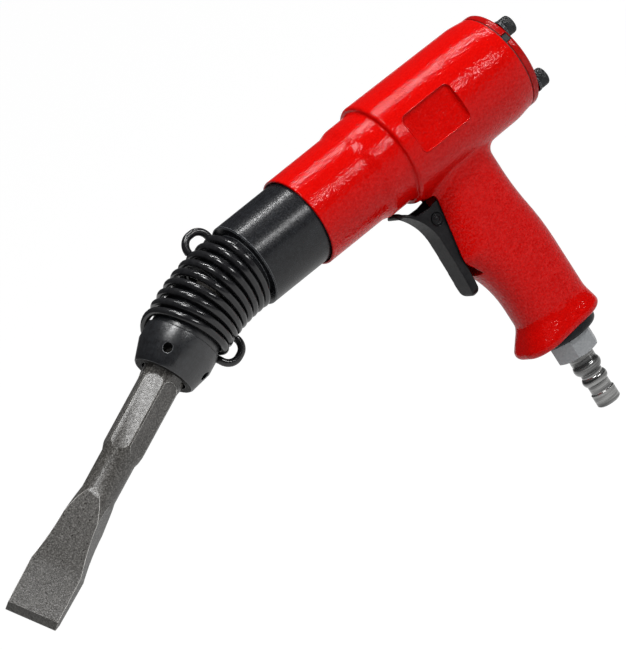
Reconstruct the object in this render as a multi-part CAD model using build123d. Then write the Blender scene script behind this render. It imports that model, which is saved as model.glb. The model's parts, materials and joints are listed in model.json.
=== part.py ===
from build123d import *
import math
import os

# Pistol grip pneumatic chisel, in millimetres.
# The barrel runs along X with the chisel at +X, +Y is the tool's left side and +Z is up.
# Pieces are drawn with the rear face of the housing at x = 0 and the barrel axis at z = 0.
# Each is moved once, as it is written, so that the origin is the middle of the grip.

# Clearances
FIXED_FIT = 0.05
RUNNING_FIT = 0.04
BODY_GAP = 0.3
SAME_PLACE = 0.01

# Housing along the barrel
BODY_LENGTH = 82.0
COLLAR_LENGTH = 20.0
SLEEVE_LENGTH = 38.0
BODY_REAR_RADIUS = 29.0
REAR_TAPER = 9.0
REAR_DROP = 1.4
REAR_ROUND = 40.0
BODY_RADIUS = 30.0
COLLAR_RADIUS = 27.0
SLEEVE_RADIUS = 25.6
COLLAR_SLOPE = 5.0
COLLAR_ROUND = 8.0
SHOULDER_ROUND = 1.8
CASTING_ROUND = 1.0
MOUTH_DEPTH = 3.0
MOUTH_GAP = 0.8

# Grip below the barrel
GRIP_SETBACK = 34.5
GRIP_LENGTH = 100.0
GRIP_WIDTH = 33.0
GRIP_BACK = 16.2
GRIP_RAKE = 3.8
RAKE_DROP = 12.0
RAKE_LENGTH = 46.0
GRIP_WAIST = 20.0
WAIST_DROP = 76.0
GRIP_CORNER = 13.0
ROOT_ROUND = 6.0
LIP_HEIGHT = 15.0
LIP_FLARE = 9.0
LIP_SIDE_FLARE = 3.0
LIP_BACK_FLARE = 1.2
LIP_ROUND = 3.0
LIP_TILT = 4.5
LIP_STATIONS = 7

# Cheeks of the trigger slot
CHEEK_TOP = 25.5
CHEEK_CORNER = 33.0
CHEEK_DROP = 40.0
CHEEK_ROUND = 15.0
CHEEK_CORNER_ROUND = 8.0
SLOT_SIDE_ROOM = 1.2
SLOT_FLOOR = 13.0
SLOT_TAIL = 9.0
SLOT_TAIL_RISE = 11.0

# Plate recess on the left of the body
RECESS_LENGTH = 33.0
RECESS_HEIGHT = 22.0
RECESS_CORNER = 3.0
RECESS_EDGE_DEPTH = 0.5
RECESS_ANGLE = 10.0
RECESS_SETBACK = 8.5

# Rear cover and its screws
COVER_THICKNESS = 4.4
COVER_ROUND = 1.8
GASKET_THICKNESS = 0.5
GASKET_INSET = 0.6
SCREW_COUNT = 4
SCREW_INSET = 5.0
SCREW_RADIUS = 3.0
SCREW_LENGTH = 20.0
SCREW_HEAD_RADIUS = 5.0
SCREW_HEAD_HEIGHT = 6.0
SOCKET_FLATS = 5.0
SOCKET_DEPTH = 3.0
WASHER_THICKNESS = 1.2
WASHER_RIM = 0.3
EXHAUST_ANGLES = (30.0, 150.0)
EXHAUST_SHARE = 0.32
EXHAUST_SLOT_WIDTH = 4.6
EXHAUST_SLOT_DEPTH = 3.6
EXHAUST_SLOT_REACH = 6.0

# Cylinder, valve chest and piston
TUBE_RADIUS = 23.7
TUBE_REACH = 38.0
TUBE_CHAMFER = 0.6
GALLERY_DEPTH = 2.7
GALLERY_LENGTH = 30.0
BORE_RADIUS = 12.0
BULKHEAD = 14.0
CHEST_STEP = 1.0
CAP_THICKNESS = 6.0
SEAT_THICKNESS = 12.0
PLATE_RADIUS = 10.5
PLATE_THICKNESS = 2.0
PLATE_TRAVEL = 1.0
PORT_RADIUS = 2.0
PORT_COUNT = 4
PORT_CIRCLE = 7.5
SEAT_PORT_RADIUS = 4.0
DOWEL_RADIUS = 1.5
DOWEL_GRIP = 4.0
PISTON_LENGTH = 36.0
PISTON_START = 2.0
PISTON_GROOVE = 1.0
STEM_RADIUS = 8.0
STEM_LENGTH = 35.0
BUSH_LENGTH = 26.0
BUSH_RADIUS = 14.0
CUP_DEPTH = 2.0
RELIEF_LENGTH = 10.0
RELIEF_SETBACK = 6.0
RELIEF_DEPTH = 1.4
RELIEF_PORT_RADIUS = 2.2

# Retaining spring between the tube and the nose
WIRE = 3.6
COIL_RADIUS = 20.6
COIL_GRIP_FIT = 0.15
COIL_END_GAP = 0.25
COIL_TURNS = 9
CLOSED_TURNS = 1.0
CLOSED_LENGTH = 4.3
BENT_TANGENT = 19.65
DROOP = 22.5
BOW_TURNS = 0.5
BOW_LIFT = 2.8
BOW_REACH = 8.0
BOW_STOPS = 8
NECK_LENGTH = 7.5
SPIGOT_LENGTH = 17.5
NOSE_SPIGOT_LENGTH = 16.0
SPIGOT_TAPER = 2.2
SPIGOT_WALL = 1.5
SPIGOT_TILT = 5.0
LOOP_BEND = 3.2
LOOP_LEG = 2.2
LOOP_RADIUS = 4.8
LOOP_BACK = 4.4
LOOP_LEAN = 25.0
REAR_LOOP_ANGLE = 130.0
FRONT_LOOP_ANGLE = 265.0

# Nose
NOSE_NECK_LENGTH = 10.0
NOSE_RADIUS = 20.0
NOSE_BAND = 9.2
NOSE_TAPER = 12.0
NOSE_RIM_RADIUS = 16.6
NOSE_CHAMFER = 0.8
NOSE_MOUTH_RADIUS = 12.4
NOSE_MOUTH_DEPTH = 2.7
NOSE_SHOULDER = 3.0
VENT_RADIUS = 2.6
VENT_AHEAD = 3.0
VENT_COUNT = 4
VENT_ANGLE = 37.0

# Chisel
TAIL_RADIUS = 8.0
TAIL_REACH = 10.0
TAIL_CHAMFER = 1.0
FLANGE_RADIUS = 14.8
FLANGE_LENGTH = 7.0
SHANK_RADIUS = 11.0
SHANK_REACH = 43.0
FLATS = 19.6
FLAT_WIDTH = 10.6
FLAT_START = 3.0
SHANK_TAPER = 5.5
CHISEL_NECK_RADIUS = 9.25
FACE_START = 70.0
FLARE_START = 76.0
BLADE_START = 114.0
CHISEL_REACH = 143.0
BLADE_WIDTH = 28.5
BLADE_ROOT_THICKNESS = 6.6
BLADE_EDGE_THICKNESS = 4.2
EDGE_BEVEL = 3.7
EDGE_LAND = 0.7
CHISEL_ROLL = -48.0

# Trigger
TRIGGER_WIDTH = 15.0
TRIGGER_WALL = 2.0
TRIGGER_PLATE = 2.8
TRIGGER_CORNER = 6.0
PIVOT_AHEAD = 29.8
PIVOT_DROP = 12.0
PIN_RADIUS = 1.75
PIN_POCKET_RADIUS = 3.6
PIN_POCKET_DEPTH = 0.8
LUG_RADIUS = 3.4
THROTTLE_ARM = 18.0
TRIGGER_WAIST = 4.3
WAIST_RISE = 7.0
TONGUE_REACH = 17.0
TONGUE_GAP = 2.4
TONGUE_BEAD = 1.7
TRIGGER_DEPTH = 4.6
TIP_SOLID = 3.0
TRIGGER_TIP_DROP = 42.5
TRIGGER_TIP_AHEAD = 5.4
CHEEK_REAR = 6.0
CHEEK_RISE = 8.0
CHEEK_END_DROP = 27.0

# Throttle valve in the grip
CHAMBER_RADIUS = 8.0
CHAMBER_LENGTH = 11.5
THROTTLE_BUSH_LENGTH = 12.0
THROTTLE_GUIDE = 4.0
THROTTLE_PORT_RADIUS = 4.2
THROTTLE_STEM_RADIUS = 2.4
POPPET_RADIUS = 6.2
POPPET_THICKNESS = 2.5
SEAL_THICKNESS = 1.2
SEAL_GAP = 0.1
PASSAGE_RADIUS = 2.4
THROTTLE_WIRE = 0.9
THROTTLE_COIL_RADIUS = 4.0
THROTTLE_TURNS = 3

# Air inlet
INLET_RADIUS = 6.0
INLET_BUSH_RADIUS = 12.0
INLET_BUSH_LENGTH = 18.0
INLET_FLANGE_RADIUS = 17.5
INLET_FLANGE = 4.5
FLANGE_SEAT = 3.2
FLANGE_ROUND = 3.0
PLUG_THREAD_RADIUS = 8.2
PLUG_THREAD_LENGTH = 12.0
SCREEN_THICKNESS = 0.8
SCREEN_HOLE_RADIUS = 0.9
SCREEN_HOLE_PITCH = 2.5
SCREEN_HOLE_COUNTS = (1, 6, 10)
HEX_FLATS = 22.0
HEX_HEIGHT = 11.0
HEX_CHAMFER = 0.8
PLUG_NECK_RADIUS = 7.0
PLUG_NECK_LENGTH = 4.6
BEAD_RADIUS = 7.8
BEAD_LENGTH = 6.8
SECOND_BEAD_RADIUS = 7.1
SECOND_BEAD_LENGTH = 5.0
GROOVE_RADIUS = 5.9
GROOVE_LENGTH = 1.8
PLUG_WAIST_LENGTH = 4.4
TIP_RADIUS = 6.6
TIP_LENGTH = 7.8
TIP_CHAMFER = 0.7
PLUG_BORE_RADIUS = 3.8

# Stations along the barrel
shoulder_x = BODY_LENGTH
collar_x = shoulder_x + COLLAR_LENGTH
sleeve_x = collar_x + SLEEVE_LENGTH
tube_x = sleeve_x + TUBE_REACH
chest_x = BULKHEAD
seat_x = chest_x + CAP_THICKNESS
cylinder_x = seat_x + SEAT_THICKNESS
gallery_x = cylinder_x + GALLERY_LENGTH
neck_x = tube_x + NECK_LENGTH
spigot_x = neck_x + SPIGOT_LENGTH
bush_front_x = tube_x - CUP_DEPTH
bush_rear_x = bush_front_x - BUSH_LENGTH
piston_x = cylinder_x + PISTON_START
relief_x = shoulder_x - RELIEF_SETBACK
neck_radius = COIL_RADIUS - WIRE / 2 - COIL_GRIP_FIT
tube_rear_radius = TUBE_RADIUS - GALLERY_DEPTH
chest_radius = tube_rear_radius - CHEST_STEP
dowel_circle = (BORE_RADIUS + tube_rear_radius) / 2

# Rear cover: the exhaust passages share the wall between the tube and the gasket's edge
rear_edge_radius = BODY_REAR_RADIUS - REAR_DROP
gasket_radius = rear_edge_radius - GASKET_INSET
screw_circle = rear_edge_radius - SCREW_INSET
exhaust_circle = (TUBE_RADIUS + FIXED_FIT + gasket_radius) / 2
exhaust_radius = EXHAUST_SHARE * (gasket_radius - TUBE_RADIUS - FIXED_FIT)

# Droop of the nose: the spring's axis is straight, bent and straight again
coil_start_x = tube_x + COIL_END_GAP + WIRE / 2
pivot_x = coil_start_x + CLOSED_LENGTH + BENT_TANGENT
bend_radius = BENT_TANGENT / math.tan(math.radians(DROOP) / 2)
bent_length = bend_radius * math.radians(DROOP)
coil_turns = COIL_TURNS + (FRONT_LOOP_ANGLE - REAR_LOOP_ANGLE) / 360
nose_band_s = CLOSED_LENGTH + BENT_TANGENT + WIRE / 2 + BODY_GAP
nose_rear_s = nose_band_s - NOSE_NECK_LENGTH
nose_spigot_s = nose_rear_s - NOSE_SPIGOT_LENGTH
nose_front_s = nose_band_s + NOSE_BAND + NOSE_TAPER
nose_shoulder_s = nose_band_s + NOSE_SHOULDER
nose_neck_radius = COIL_RADIUS - WIRE / 2 - BODY_GAP

# Grip, trigger and inlet
grip_x = shoulder_x - GRIP_SETBACK
under_z = -BODY_RADIUS
bottom_z = under_z - GRIP_LENGTH
middle_z = under_z - GRIP_LENGTH / 2
cheek_z = under_z - CHEEK_DROP
waist_z = under_z - WAIST_DROP
lip_top_z = bottom_z + LIP_HEIGHT
trigger_x = grip_x + PIVOT_AHEAD
trigger_z = under_z - PIVOT_DROP
slot_x = grip_x + SLOT_FLOOR
slot_width = TRIGGER_WIDTH + 2 * SLOT_SIDE_ROOM
throttle_z = trigger_z - THROTTLE_ARM
throttle_seat_x = slot_x - THROTTLE_BUSH_LENGTH
chamber_x = throttle_seat_x - CHAMBER_LENGTH
passage_x = (throttle_seat_x + slot_x - THROTTLE_GUIDE) / 2
flange_z = bottom_z - INLET_FLANGE
seat_z = bottom_z + FLANGE_SEAT
screen_z = flange_z + PLUG_THREAD_LENGTH + FIXED_FIT
hex_z = flange_z - HEX_HEIGHT


def turned(points):
    """A solid turned about the barrel axis from (x, radius) points."""
    return revolve(Plane.XZ * make_face(Polyline(*points, close=True)), Axis.X)


def rod_x(x0, x1, radius, y=0.0, z=0.0):
    """A round bar along X."""
    bar = Rot(0, 90, 0) * Cylinder(radius, x1 - x0, align=(Align.CENTER, Align.CENTER, Align.MIN))
    return Pos(x0, y, z) * bar


def rod_y(width, radius, x, z):
    """A round bar across the tool, centred on its middle plane."""
    return Pos(x, 0, z) * Rot(90, 0, 0) * Cylinder(radius, width)


def rod_z(z0, z1, radius, x, y=0.0):
    """An upright round bar."""
    bar = Cylinder(radius, z1 - z0, align=(Align.CENTER, Align.CENTER, Align.MIN))
    return Pos(x, y, z0) * bar


def side_plate(points, width):
    """A plate with an outline of (x, z) points, centred on the middle plane."""
    return extrude(Plane.XZ * make_face(Polyline(*points, close=True)), width / 2, both=True)


def rims(solid, x, radius):
    """The round edges of a turned solid at one station and radius."""
    found = []
    for edge in solid.edges().filter_by(GeomType.CIRCLE):
        centre = edge.arc_center
        if abs(centre.X - x) < SAME_PLACE and abs(edge.radius - radius) < SAME_PLACE:
            found.append(edge)
    return found


def around(radius, angle):
    """The (y, z) place at an angle from the left side towards the top."""
    turn = math.radians(angle)
    return radius * math.cos(turn), radius * math.sin(turn)


def screw_places():
    """Places of the cover's screws, halfway between the sides and the top."""
    step = 360 / SCREW_COUNT
    return [around(screw_circle, step * (place + 0.5)) for place in range(SCREW_COUNT)]


def grip_shaft():
    """The shaft of the grip: raked back, cheeks ahead and a waist above the lip."""
    back_x = grip_x - GRIP_BACK
    raked_x = back_x - GRIP_RAKE
    rake_z = under_z - RAKE_DROP
    rake_end_z = rake_z - RAKE_LENGTH
    rake_middle = ((back_x + raked_x) / 2, (rake_z + rake_end_z) / 2)
    waist_x = grip_x + GRIP_WAIST
    corner = (grip_x + CHEEK_CORNER, cheek_z)
    lean = (CHEEK_CORNER - CHEEK_TOP) / CHEEK_DROP
    top_front = (grip_x + CHEEK_TOP + lean * under_z, 0)
    outline = make_face([
        Polyline(corner, top_front, (back_x, 0), (back_x, rake_z)),
        TangentArc((back_x, rake_z), rake_middle, tangent=(0, -1)),
        TangentArc((raked_x, rake_end_z), rake_middle, tangent=(0, 1)),
        Polyline((raked_x, rake_end_z), (raked_x, lip_top_z), (waist_x, lip_top_z), (waist_x, waist_z)),
        TangentArc((waist_x, waist_z), corner, tangent=(0, 1)),
    ])
    outline = fillet(outline.vertices().group_by(Axis.X)[-1], CHEEK_CORNER_ROUND)
    shaft = extrude(Plane.XZ * outline, GRIP_WIDTH / 2, both=True)
    flank = shaft.edges().filter_by(lambda edge: abs(edge.center().Y) > GRIP_WIDTH / 2 - SAME_PLACE)
    upright = flank.filter_by(lambda edge: lip_top_z < edge.center().Z < 0)
    shaft = fillet(upright.filter_by(lambda edge: edge.center().X < grip_x), GRIP_CORNER)
    flank = shaft.edges().filter_by(lambda edge: abs(edge.center().Y) > GRIP_WIDTH / 2 - SAME_PLACE)
    upright = flank.filter_by(lambda edge: lip_top_z < edge.center().Z < 0)
    return fillet(upright.filter_by(lambda edge: edge.center().X > grip_x + SLOT_FLOOR), CHEEK_ROUND)


def lip_section(share):
    """A rounded section of the lip, flared by a share of its full flare."""
    flare = share * share * (3 - 2 * share)
    back = GRIP_BACK + GRIP_RAKE + LIP_BACK_FLARE * flare
    front = GRIP_WAIST + LIP_FLARE * flare
    outline = Rectangle(back + front, GRIP_WIDTH + 2 * LIP_SIDE_FLARE * flare)
    outline = fillet(outline.vertices().group_by(Axis.X)[0], GRIP_CORNER)
    outline = fillet(outline.vertices().group_by(Axis.X)[-1], CHEEK_ROUND)
    turn = Pos(grip_x, 0, lip_top_z - LIP_HEIGHT * share) * Rot(0, LIP_TILT * flare, 0)
    return turn * Pos((front - back) / 2, 0, 0) * outline


def grip_lip():
    """The lip at the end of the grip, flared most at its front."""
    lip = loft([lip_section(place / (LIP_STATIONS - 1)) for place in range(LIP_STATIONS)])
    foot = lip.faces().sort_by(Axis.Z)[0]
    return fillet(foot.edges(), LIP_ROUND)


def trigger_slot():
    """The slot between the cheeks, long and deep enough for the squeezed trigger."""
    far_x = grip_x + CHEEK_CORNER + TRIGGER_WIDTH
    outline = [
        (slot_x, under_z - CASTING_ROUND),
        (far_x, under_z - CASTING_ROUND),
        (far_x, cheek_z - SLOT_TAIL),
        (slot_x + SLOT_TAIL_RISE, cheek_z - SLOT_TAIL),
        (slot_x, cheek_z),
    ]
    return side_plate(outline, slot_width)


def plate_recess():
    """A blank recess with rounded corners and a flat floor, sunk into the left of the body."""
    middle_x = shoulder_x - RECESS_SETBACK - RECESS_LENGTH / 2
    floor_y = math.sqrt(BODY_REAR_RADIUS**2 - (RECESS_HEIGHT / 2) ** 2) - RECESS_EDGE_DEPTH
    outline = RectangleRounded(RECESS_LENGTH, RECESS_HEIGHT, RECESS_CORNER)
    column = Plane.XZ * extrude(outline, -BODY_RADIUS)
    return Pos(middle_x, 0, 0) * Rot(RECESS_ANGLE, 0, 0) * Pos(0, floor_y, 0) * column


def make_housing():
    """The cast body, collar, sleeve and grip, with their bores."""
    skin = turned([
        (0, 0), (0, rear_edge_radius), (REAR_TAPER, BODY_REAR_RADIUS),
        (shoulder_x, BODY_RADIUS), (shoulder_x, COLLAR_RADIUS),
        (collar_x - COLLAR_SLOPE, COLLAR_RADIUS), (collar_x, SLEEVE_RADIUS),
        (sleeve_x, SLEEVE_RADIUS), (sleeve_x, 0),
    ])
    skin = fillet(rims(skin, shoulder_x, BODY_RADIUS), SHOULDER_ROUND)
    skin = fillet(rims(skin, shoulder_x, COLLAR_RADIUS), CASTING_ROUND)
    skin = fillet(rims(skin, collar_x - COLLAR_SLOPE, COLLAR_RADIUS), COLLAR_ROUND)
    skin = fillet(rims(skin, collar_x, SLEEVE_RADIUS), COLLAR_ROUND)
    skin = fillet(rims(skin, sleeve_x, SLEEVE_RADIUS), CASTING_ROUND / 2)
    skin = fillet(rims(skin, REAR_TAPER, BODY_REAR_RADIUS), REAR_ROUND)
    skin = fillet(rims(skin, 0, rear_edge_radius), CASTING_ROUND / 2)
    lug = side_plate([
        (grip_x, trigger_z - LUG_RADIUS), (trigger_x, trigger_z - LUG_RADIUS),
        (trigger_x, trigger_z + LUG_RADIUS), (grip_x, trigger_z + LUG_RADIUS),
    ], TRIGGER_WIDTH - 2 * TRIGGER_WALL - 2 * BODY_GAP)
    lug += rod_y(TRIGGER_WIDTH - 2 * TRIGGER_WALL - 2 * BODY_GAP, LUG_RADIUS, trigger_x, trigger_z)
    shaft = grip_shaft()
    casting = skin + shaft
    casting = fillet(new_edges(skin, shaft, combined=casting), ROOT_ROUND)
    casting = casting + grip_lip() - trigger_slot() + lug
    bores = [
        rod_x(sleeve_x - MOUTH_DEPTH, sleeve_x, TUBE_RADIUS + MOUTH_GAP),
        rod_x(cylinder_x, sleeve_x, TUBE_RADIUS + FIXED_FIT),
        rod_x(chest_x, cylinder_x, chest_radius + FIXED_FIT),
        rod_x(relief_x - RELIEF_LENGTH, relief_x, TUBE_RADIUS + RELIEF_DEPTH),
        rod_x(chamber_x, slot_x, CHAMBER_RADIUS + FIXED_FIT, z=throttle_z),
        rod_z(throttle_z, under_z + BODY_RADIUS - tube_rear_radius, PASSAGE_RADIUS, passage_x),
        rod_z(bottom_z - LIP_HEIGHT, seat_z, INLET_FLANGE_RADIUS + FIXED_FIT, grip_x),
        rod_z(bottom_z, bottom_z + INLET_BUSH_LENGTH, INLET_BUSH_RADIUS + FIXED_FIT, grip_x),
        rod_z(bottom_z, throttle_z, INLET_RADIUS, grip_x),
        rod_y(2 * TRIGGER_WIDTH, PIN_RADIUS + FIXED_FIT, trigger_x, trigger_z),
        plate_recess(),
    ]
    for angle in EXHAUST_ANGLES:
        y, z = around(exhaust_circle, angle)
        bores.append(rod_x(0, relief_x - RELIEF_LENGTH / 2, exhaust_radius, y, z))
    screw_depth = SCREW_LENGTH - WASHER_THICKNESS - COVER_THICKNESS - GASKET_THICKNESS + BODY_GAP
    for y, z in screw_places():
        bores.append(rod_x(0, screw_depth, SCREW_RADIUS + FIXED_FIT, y, z))
    return casting - bores


def make_rear_gasket():
    """The thin sheet gasket between the housing and the cover."""
    sheet = rod_x(-GASKET_THICKNESS, 0, gasket_radius)
    holes = [rod_x(-GASKET_THICKNESS, 0, SCREW_RADIUS + FIXED_FIT, y, z) for y, z in screw_places()]
    for angle in EXHAUST_ANGLES:
        y, z = around(exhaust_circle, angle)
        holes.append(rod_x(-GASKET_THICKNESS, 0, exhaust_radius, y, z))
    return sheet - holes


def make_rear_cover():
    """The rear cover, rounded at its back, with exhaust slots in its rim."""
    front = -GASKET_THICKNESS
    back = front - COVER_THICKNESS
    cover = rod_x(back, front, rear_edge_radius)
    cover = fillet(rims(cover, back, rear_edge_radius), COVER_ROUND)
    cover = fillet(rims(cover, front, rear_edge_radius), CASTING_ROUND / 2)
    cuts = [rod_x(back, front, SCREW_RADIUS + FIXED_FIT, y, z) for y, z in screw_places()]
    slot = Box(EXHAUST_SLOT_DEPTH, EXHAUST_SLOT_REACH + COVER_ROUND, EXHAUST_SLOT_WIDTH,
               align=(Align.MAX, Align.MIN, Align.CENTER))
    for angle in EXHAUST_ANGLES:
        cuts.append(Rot(angle, 0, 0) * Pos(front, rear_edge_radius - EXHAUST_SLOT_REACH, 0) * slot)
    return cover - cuts


def make_cover_screws():
    """Socket head cap screws, heads on their washers behind the cover."""
    seat = -GASKET_THICKNESS - COVER_THICKNESS - WASHER_THICKNESS
    head_back = seat - SCREW_HEAD_HEIGHT
    screw = turned([
        (head_back, 0), (head_back, SCREW_HEAD_RADIUS - WASHER_RIM),
        (head_back + WASHER_RIM, SCREW_HEAD_RADIUS), (seat, SCREW_HEAD_RADIUS),
        (seat, SCREW_RADIUS), (seat + SCREW_LENGTH, SCREW_RADIUS), (seat + SCREW_LENGTH, 0),
    ])
    socket = extrude(Plane.YZ * RegularPolygon(SOCKET_FLATS / 2, 6, major_radius=False), SOCKET_DEPTH)
    screw -= Pos(head_back, 0, 0) * socket
    return Compound([(Pos(0, y, z) * screw).solid() for y, z in screw_places()])


def make_spring_washers():
    """Split spring washers under the screw heads."""
    back = -GASKET_THICKNESS - COVER_THICKNESS - WASHER_THICKNESS
    washer = rod_x(back, back + WASHER_THICKNESS, SCREW_HEAD_RADIUS + WASHER_RIM)
    washer -= rod_x(back, back + WASHER_THICKNESS, SCREW_RADIUS + FIXED_FIT)
    split = Box(WASHER_THICKNESS, 2 * SCREW_HEAD_RADIUS, WASHER_THICKNESS / 2,
                align=(Align.MIN, Align.MIN, Align.CENTER))
    washer -= Pos(back, 0, 0) * split
    return Compound([(Pos(0, y, z) * washer).solid() for y, z in screw_places()])


def spigot_end(x, radius, tilt):
    """A cutter that leaves a spigot longest at its top, so that the nose can droop."""
    reach = 2 * radius
    side = Align.MIN if tilt > 0 else Align.MAX
    block = Box(reach, 2 * reach, 2 * reach, align=(side, Align.CENTER, Align.CENTER))
    return Pos(x, 0, radius) * Rot(0, tilt, 0) * block


def make_cylinder():
    """The steel cylinder: screwed into the sleeve, with a neck for the spring."""
    tube = turned([
        (cylinder_x, BORE_RADIUS), (cylinder_x, tube_rear_radius), (gallery_x, tube_rear_radius),
        (gallery_x, TUBE_RADIUS), (tube_x - TUBE_CHAMFER, TUBE_RADIUS),
        (tube_x, TUBE_RADIUS - TUBE_CHAMFER), (tube_x, neck_radius), (neck_x, neck_radius),
        (spigot_x, neck_radius - SPIGOT_TAPER), (spigot_x, neck_radius - SPIGOT_TAPER - SPIGOT_WALL),
        (bush_front_x, BUSH_RADIUS + FIXED_FIT),
        (bush_rear_x, BUSH_RADIUS + FIXED_FIT), (bush_rear_x, BORE_RADIUS),
    ])
    ports = [spigot_end(spigot_x, neck_radius, SPIGOT_TILT)]
    for place in range(PORT_COUNT):
        port = rod_z(0, TUBE_RADIUS, RELIEF_PORT_RADIUS, relief_x - RELIEF_LENGTH / 2)
        ports.append(Rot(360 / PORT_COUNT * place, 0, 0) * port)
    y, z = around(dowel_circle, 90)
    ports.append(rod_x(cylinder_x, cylinder_x + DOWEL_GRIP + BODY_GAP, DOWEL_RADIUS + FIXED_FIT, y, z))
    return tube - ports


def make_front_bush():
    """The bush at the front of the cylinder that guides the piston's stem."""
    bush = rod_x(bush_rear_x, bush_front_x, BUSH_RADIUS)
    bush = chamfer(rims(bush, bush_front_x, BUSH_RADIUS), TAIL_CHAMFER)
    return bush - rod_x(bush_rear_x, bush_front_x, STEM_RADIUS + RUNNING_FIT)


def make_piston():
    """The hammer piston with its striking stem and oil grooves."""
    head_x = piston_x + PISTON_LENGTH
    radius = BORE_RADIUS - RUNNING_FIT
    piston = rod_x(piston_x, head_x, radius) + rod_x(head_x, head_x + STEM_LENGTH, STEM_RADIUS)
    piston = chamfer(rims(piston, head_x + STEM_LENGTH, STEM_RADIUS), TAIL_CHAMFER)
    for share in (1, 2, 3):
        groove_x = piston_x + PISTON_LENGTH * share / 4
        ring = rod_x(groove_x, groove_x + PISTON_GROOVE, radius)
        piston -= ring - rod_x(groove_x, groove_x + PISTON_GROOVE, radius - PISTON_GROOVE / 2)
    return piston


def dowel_hole():
    """The hole that the dowel passes through the valve chest."""
    y, z = around(dowel_circle, 90)
    return rod_x(chest_x, cylinder_x, DOWEL_RADIUS + FIXED_FIT, y, z)


def make_valve_cap():
    """The rear half of the valve chest, with ports to the valve plate."""
    cap = rod_x(chest_x, seat_x, chest_radius)
    for place in range(PORT_COUNT):
        y, z = around(PORT_CIRCLE, 360 / PORT_COUNT * (place + 0.5))
        cap -= rod_x(chest_x, seat_x, PORT_RADIUS, y, z)
    return cap - dowel_hole()


def make_valve_seat():
    """The front half of the valve chest, with the pocket that the plate beats in."""
    pocket = PLATE_THICKNESS + PLATE_TRAVEL + 2 * SEAL_GAP
    seat = rod_x(seat_x, cylinder_x, chest_radius)
    seat -= rod_x(seat_x, seat_x + pocket, PLATE_RADIUS + RUNNING_FIT)
    return seat - rod_x(seat_x, cylinder_x, SEAT_PORT_RADIUS) - dowel_hole()


def make_valve_plate():
    """The valve plate, resting against the cap."""
    back = seat_x + SEAL_GAP
    return rod_x(back, back + PLATE_THICKNESS, PLATE_RADIUS)


def make_dowel_pin():
    """The dowel that lines the valve chest up with the cylinder."""
    y, z = around(dowel_circle, 90)
    return rod_x(chest_x + FIXED_FIT, cylinder_x + DOWEL_GRIP, DOWEL_RADIUS, y, z)


def drooped(solid):
    """A solid drawn about the spring's middle, turned down with the nose."""
    return Pos(pivot_x, 0, 0) * Rot(0, DROOP, 0) * solid


def make_nose():
    """The stepped nose that holds the chisel's flange, hung in the spring."""
    rim_s = nose_front_s - NOSE_CHAMFER
    nose = turned([
        (nose_spigot_s, FLANGE_RADIUS + BODY_GAP),
        (nose_spigot_s, nose_neck_radius - SPIGOT_TAPER), (nose_rear_s, nose_neck_radius),
        (nose_band_s, nose_neck_radius), (nose_band_s, NOSE_RADIUS),
        (nose_band_s + NOSE_BAND, NOSE_RADIUS), (rim_s, NOSE_RIM_RADIUS),
        (nose_front_s, NOSE_RIM_RADIUS - NOSE_CHAMFER), (nose_front_s, NOSE_MOUTH_RADIUS),
        (nose_front_s - NOSE_MOUTH_DEPTH, NOSE_MOUTH_RADIUS),
        (nose_front_s - NOSE_MOUTH_DEPTH, SHANK_RADIUS + RUNNING_FIT),
        (nose_shoulder_s, SHANK_RADIUS + RUNNING_FIT), (nose_shoulder_s, FLANGE_RADIUS + BODY_GAP),
    ])
    nose = fillet(rims(nose, nose_band_s, NOSE_RADIUS), NOSE_CHAMFER)
    nose -= spigot_end(nose_spigot_s, nose_neck_radius, -SPIGOT_TILT)
    for place in range(VENT_COUNT):
        vent = rod_z(0, 2 * NOSE_RADIUS, VENT_RADIUS, nose_band_s + NOSE_BAND + VENT_AHEAD)
        nose -= Rot(VENT_ANGLE - 90 + 360 / VENT_COUNT * place, 0, 0) * vent
    return drooped(nose)


def shank_flats():
    """Cutters for the hexagon's flats, rounded at their upper ends."""
    length = SHANK_REACH + SHANK_TAPER - FLAT_START
    slot = SlotOverall(length + FLAT_WIDTH, FLAT_WIDTH)
    middle = nose_front_s + FLAT_START + (length + FLAT_WIDTH) / 2
    cutter = Pos(middle, 0, FLATS / 2) * extrude(slot, SHANK_RADIUS)
    return [Rot(60 * place, 0, 0) * cutter for place in range(6)]


def blade_solid():
    """The flared blade: its plan, its wedge and the round of the bar in one."""
    face_s = nose_front_s + FACE_START
    flare_s = nose_front_s + FLARE_START
    blade_s = nose_front_s + BLADE_START
    tip_s = nose_front_s + CHISEL_REACH
    half = BLADE_WIDTH / 2
    upper = Polyline((face_s, CHISEL_NECK_RADIUS), (flare_s, CHISEL_NECK_RADIUS))
    flare = TangentArc((flare_s, CHISEL_NECK_RADIUS), (blade_s, half), tangent=(1, 0))
    edge = Polyline((blade_s, half), (tip_s, half), (tip_s, 0), (face_s, 0), (face_s, CHISEL_NECK_RADIUS))
    plan_half = make_face([upper, flare, edge])
    plan = extrude(plan_half + mirror(plan_half, Plane.XZ), CHISEL_NECK_RADIUS, both=True)
    root = BLADE_ROOT_THICKNESS / 2
    thin = BLADE_EDGE_THICKNESS / 2
    land = EDGE_LAND / 2
    wedge = side_plate([
        (face_s, CHISEL_NECK_RADIUS), (blade_s, root), (tip_s - EDGE_BEVEL, thin), (tip_s, land),
        (tip_s, -land), (tip_s - EDGE_BEVEL, -thin), (blade_s, -root), (face_s, -CHISEL_NECK_RADIUS),
    ], BLADE_WIDTH)
    spread = turned([
        (face_s, 0), (face_s, CHISEL_NECK_RADIUS), (blade_s, half + thin), (tip_s, half + thin), (tip_s, 0),
    ])
    return plan & wedge & spread


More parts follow.
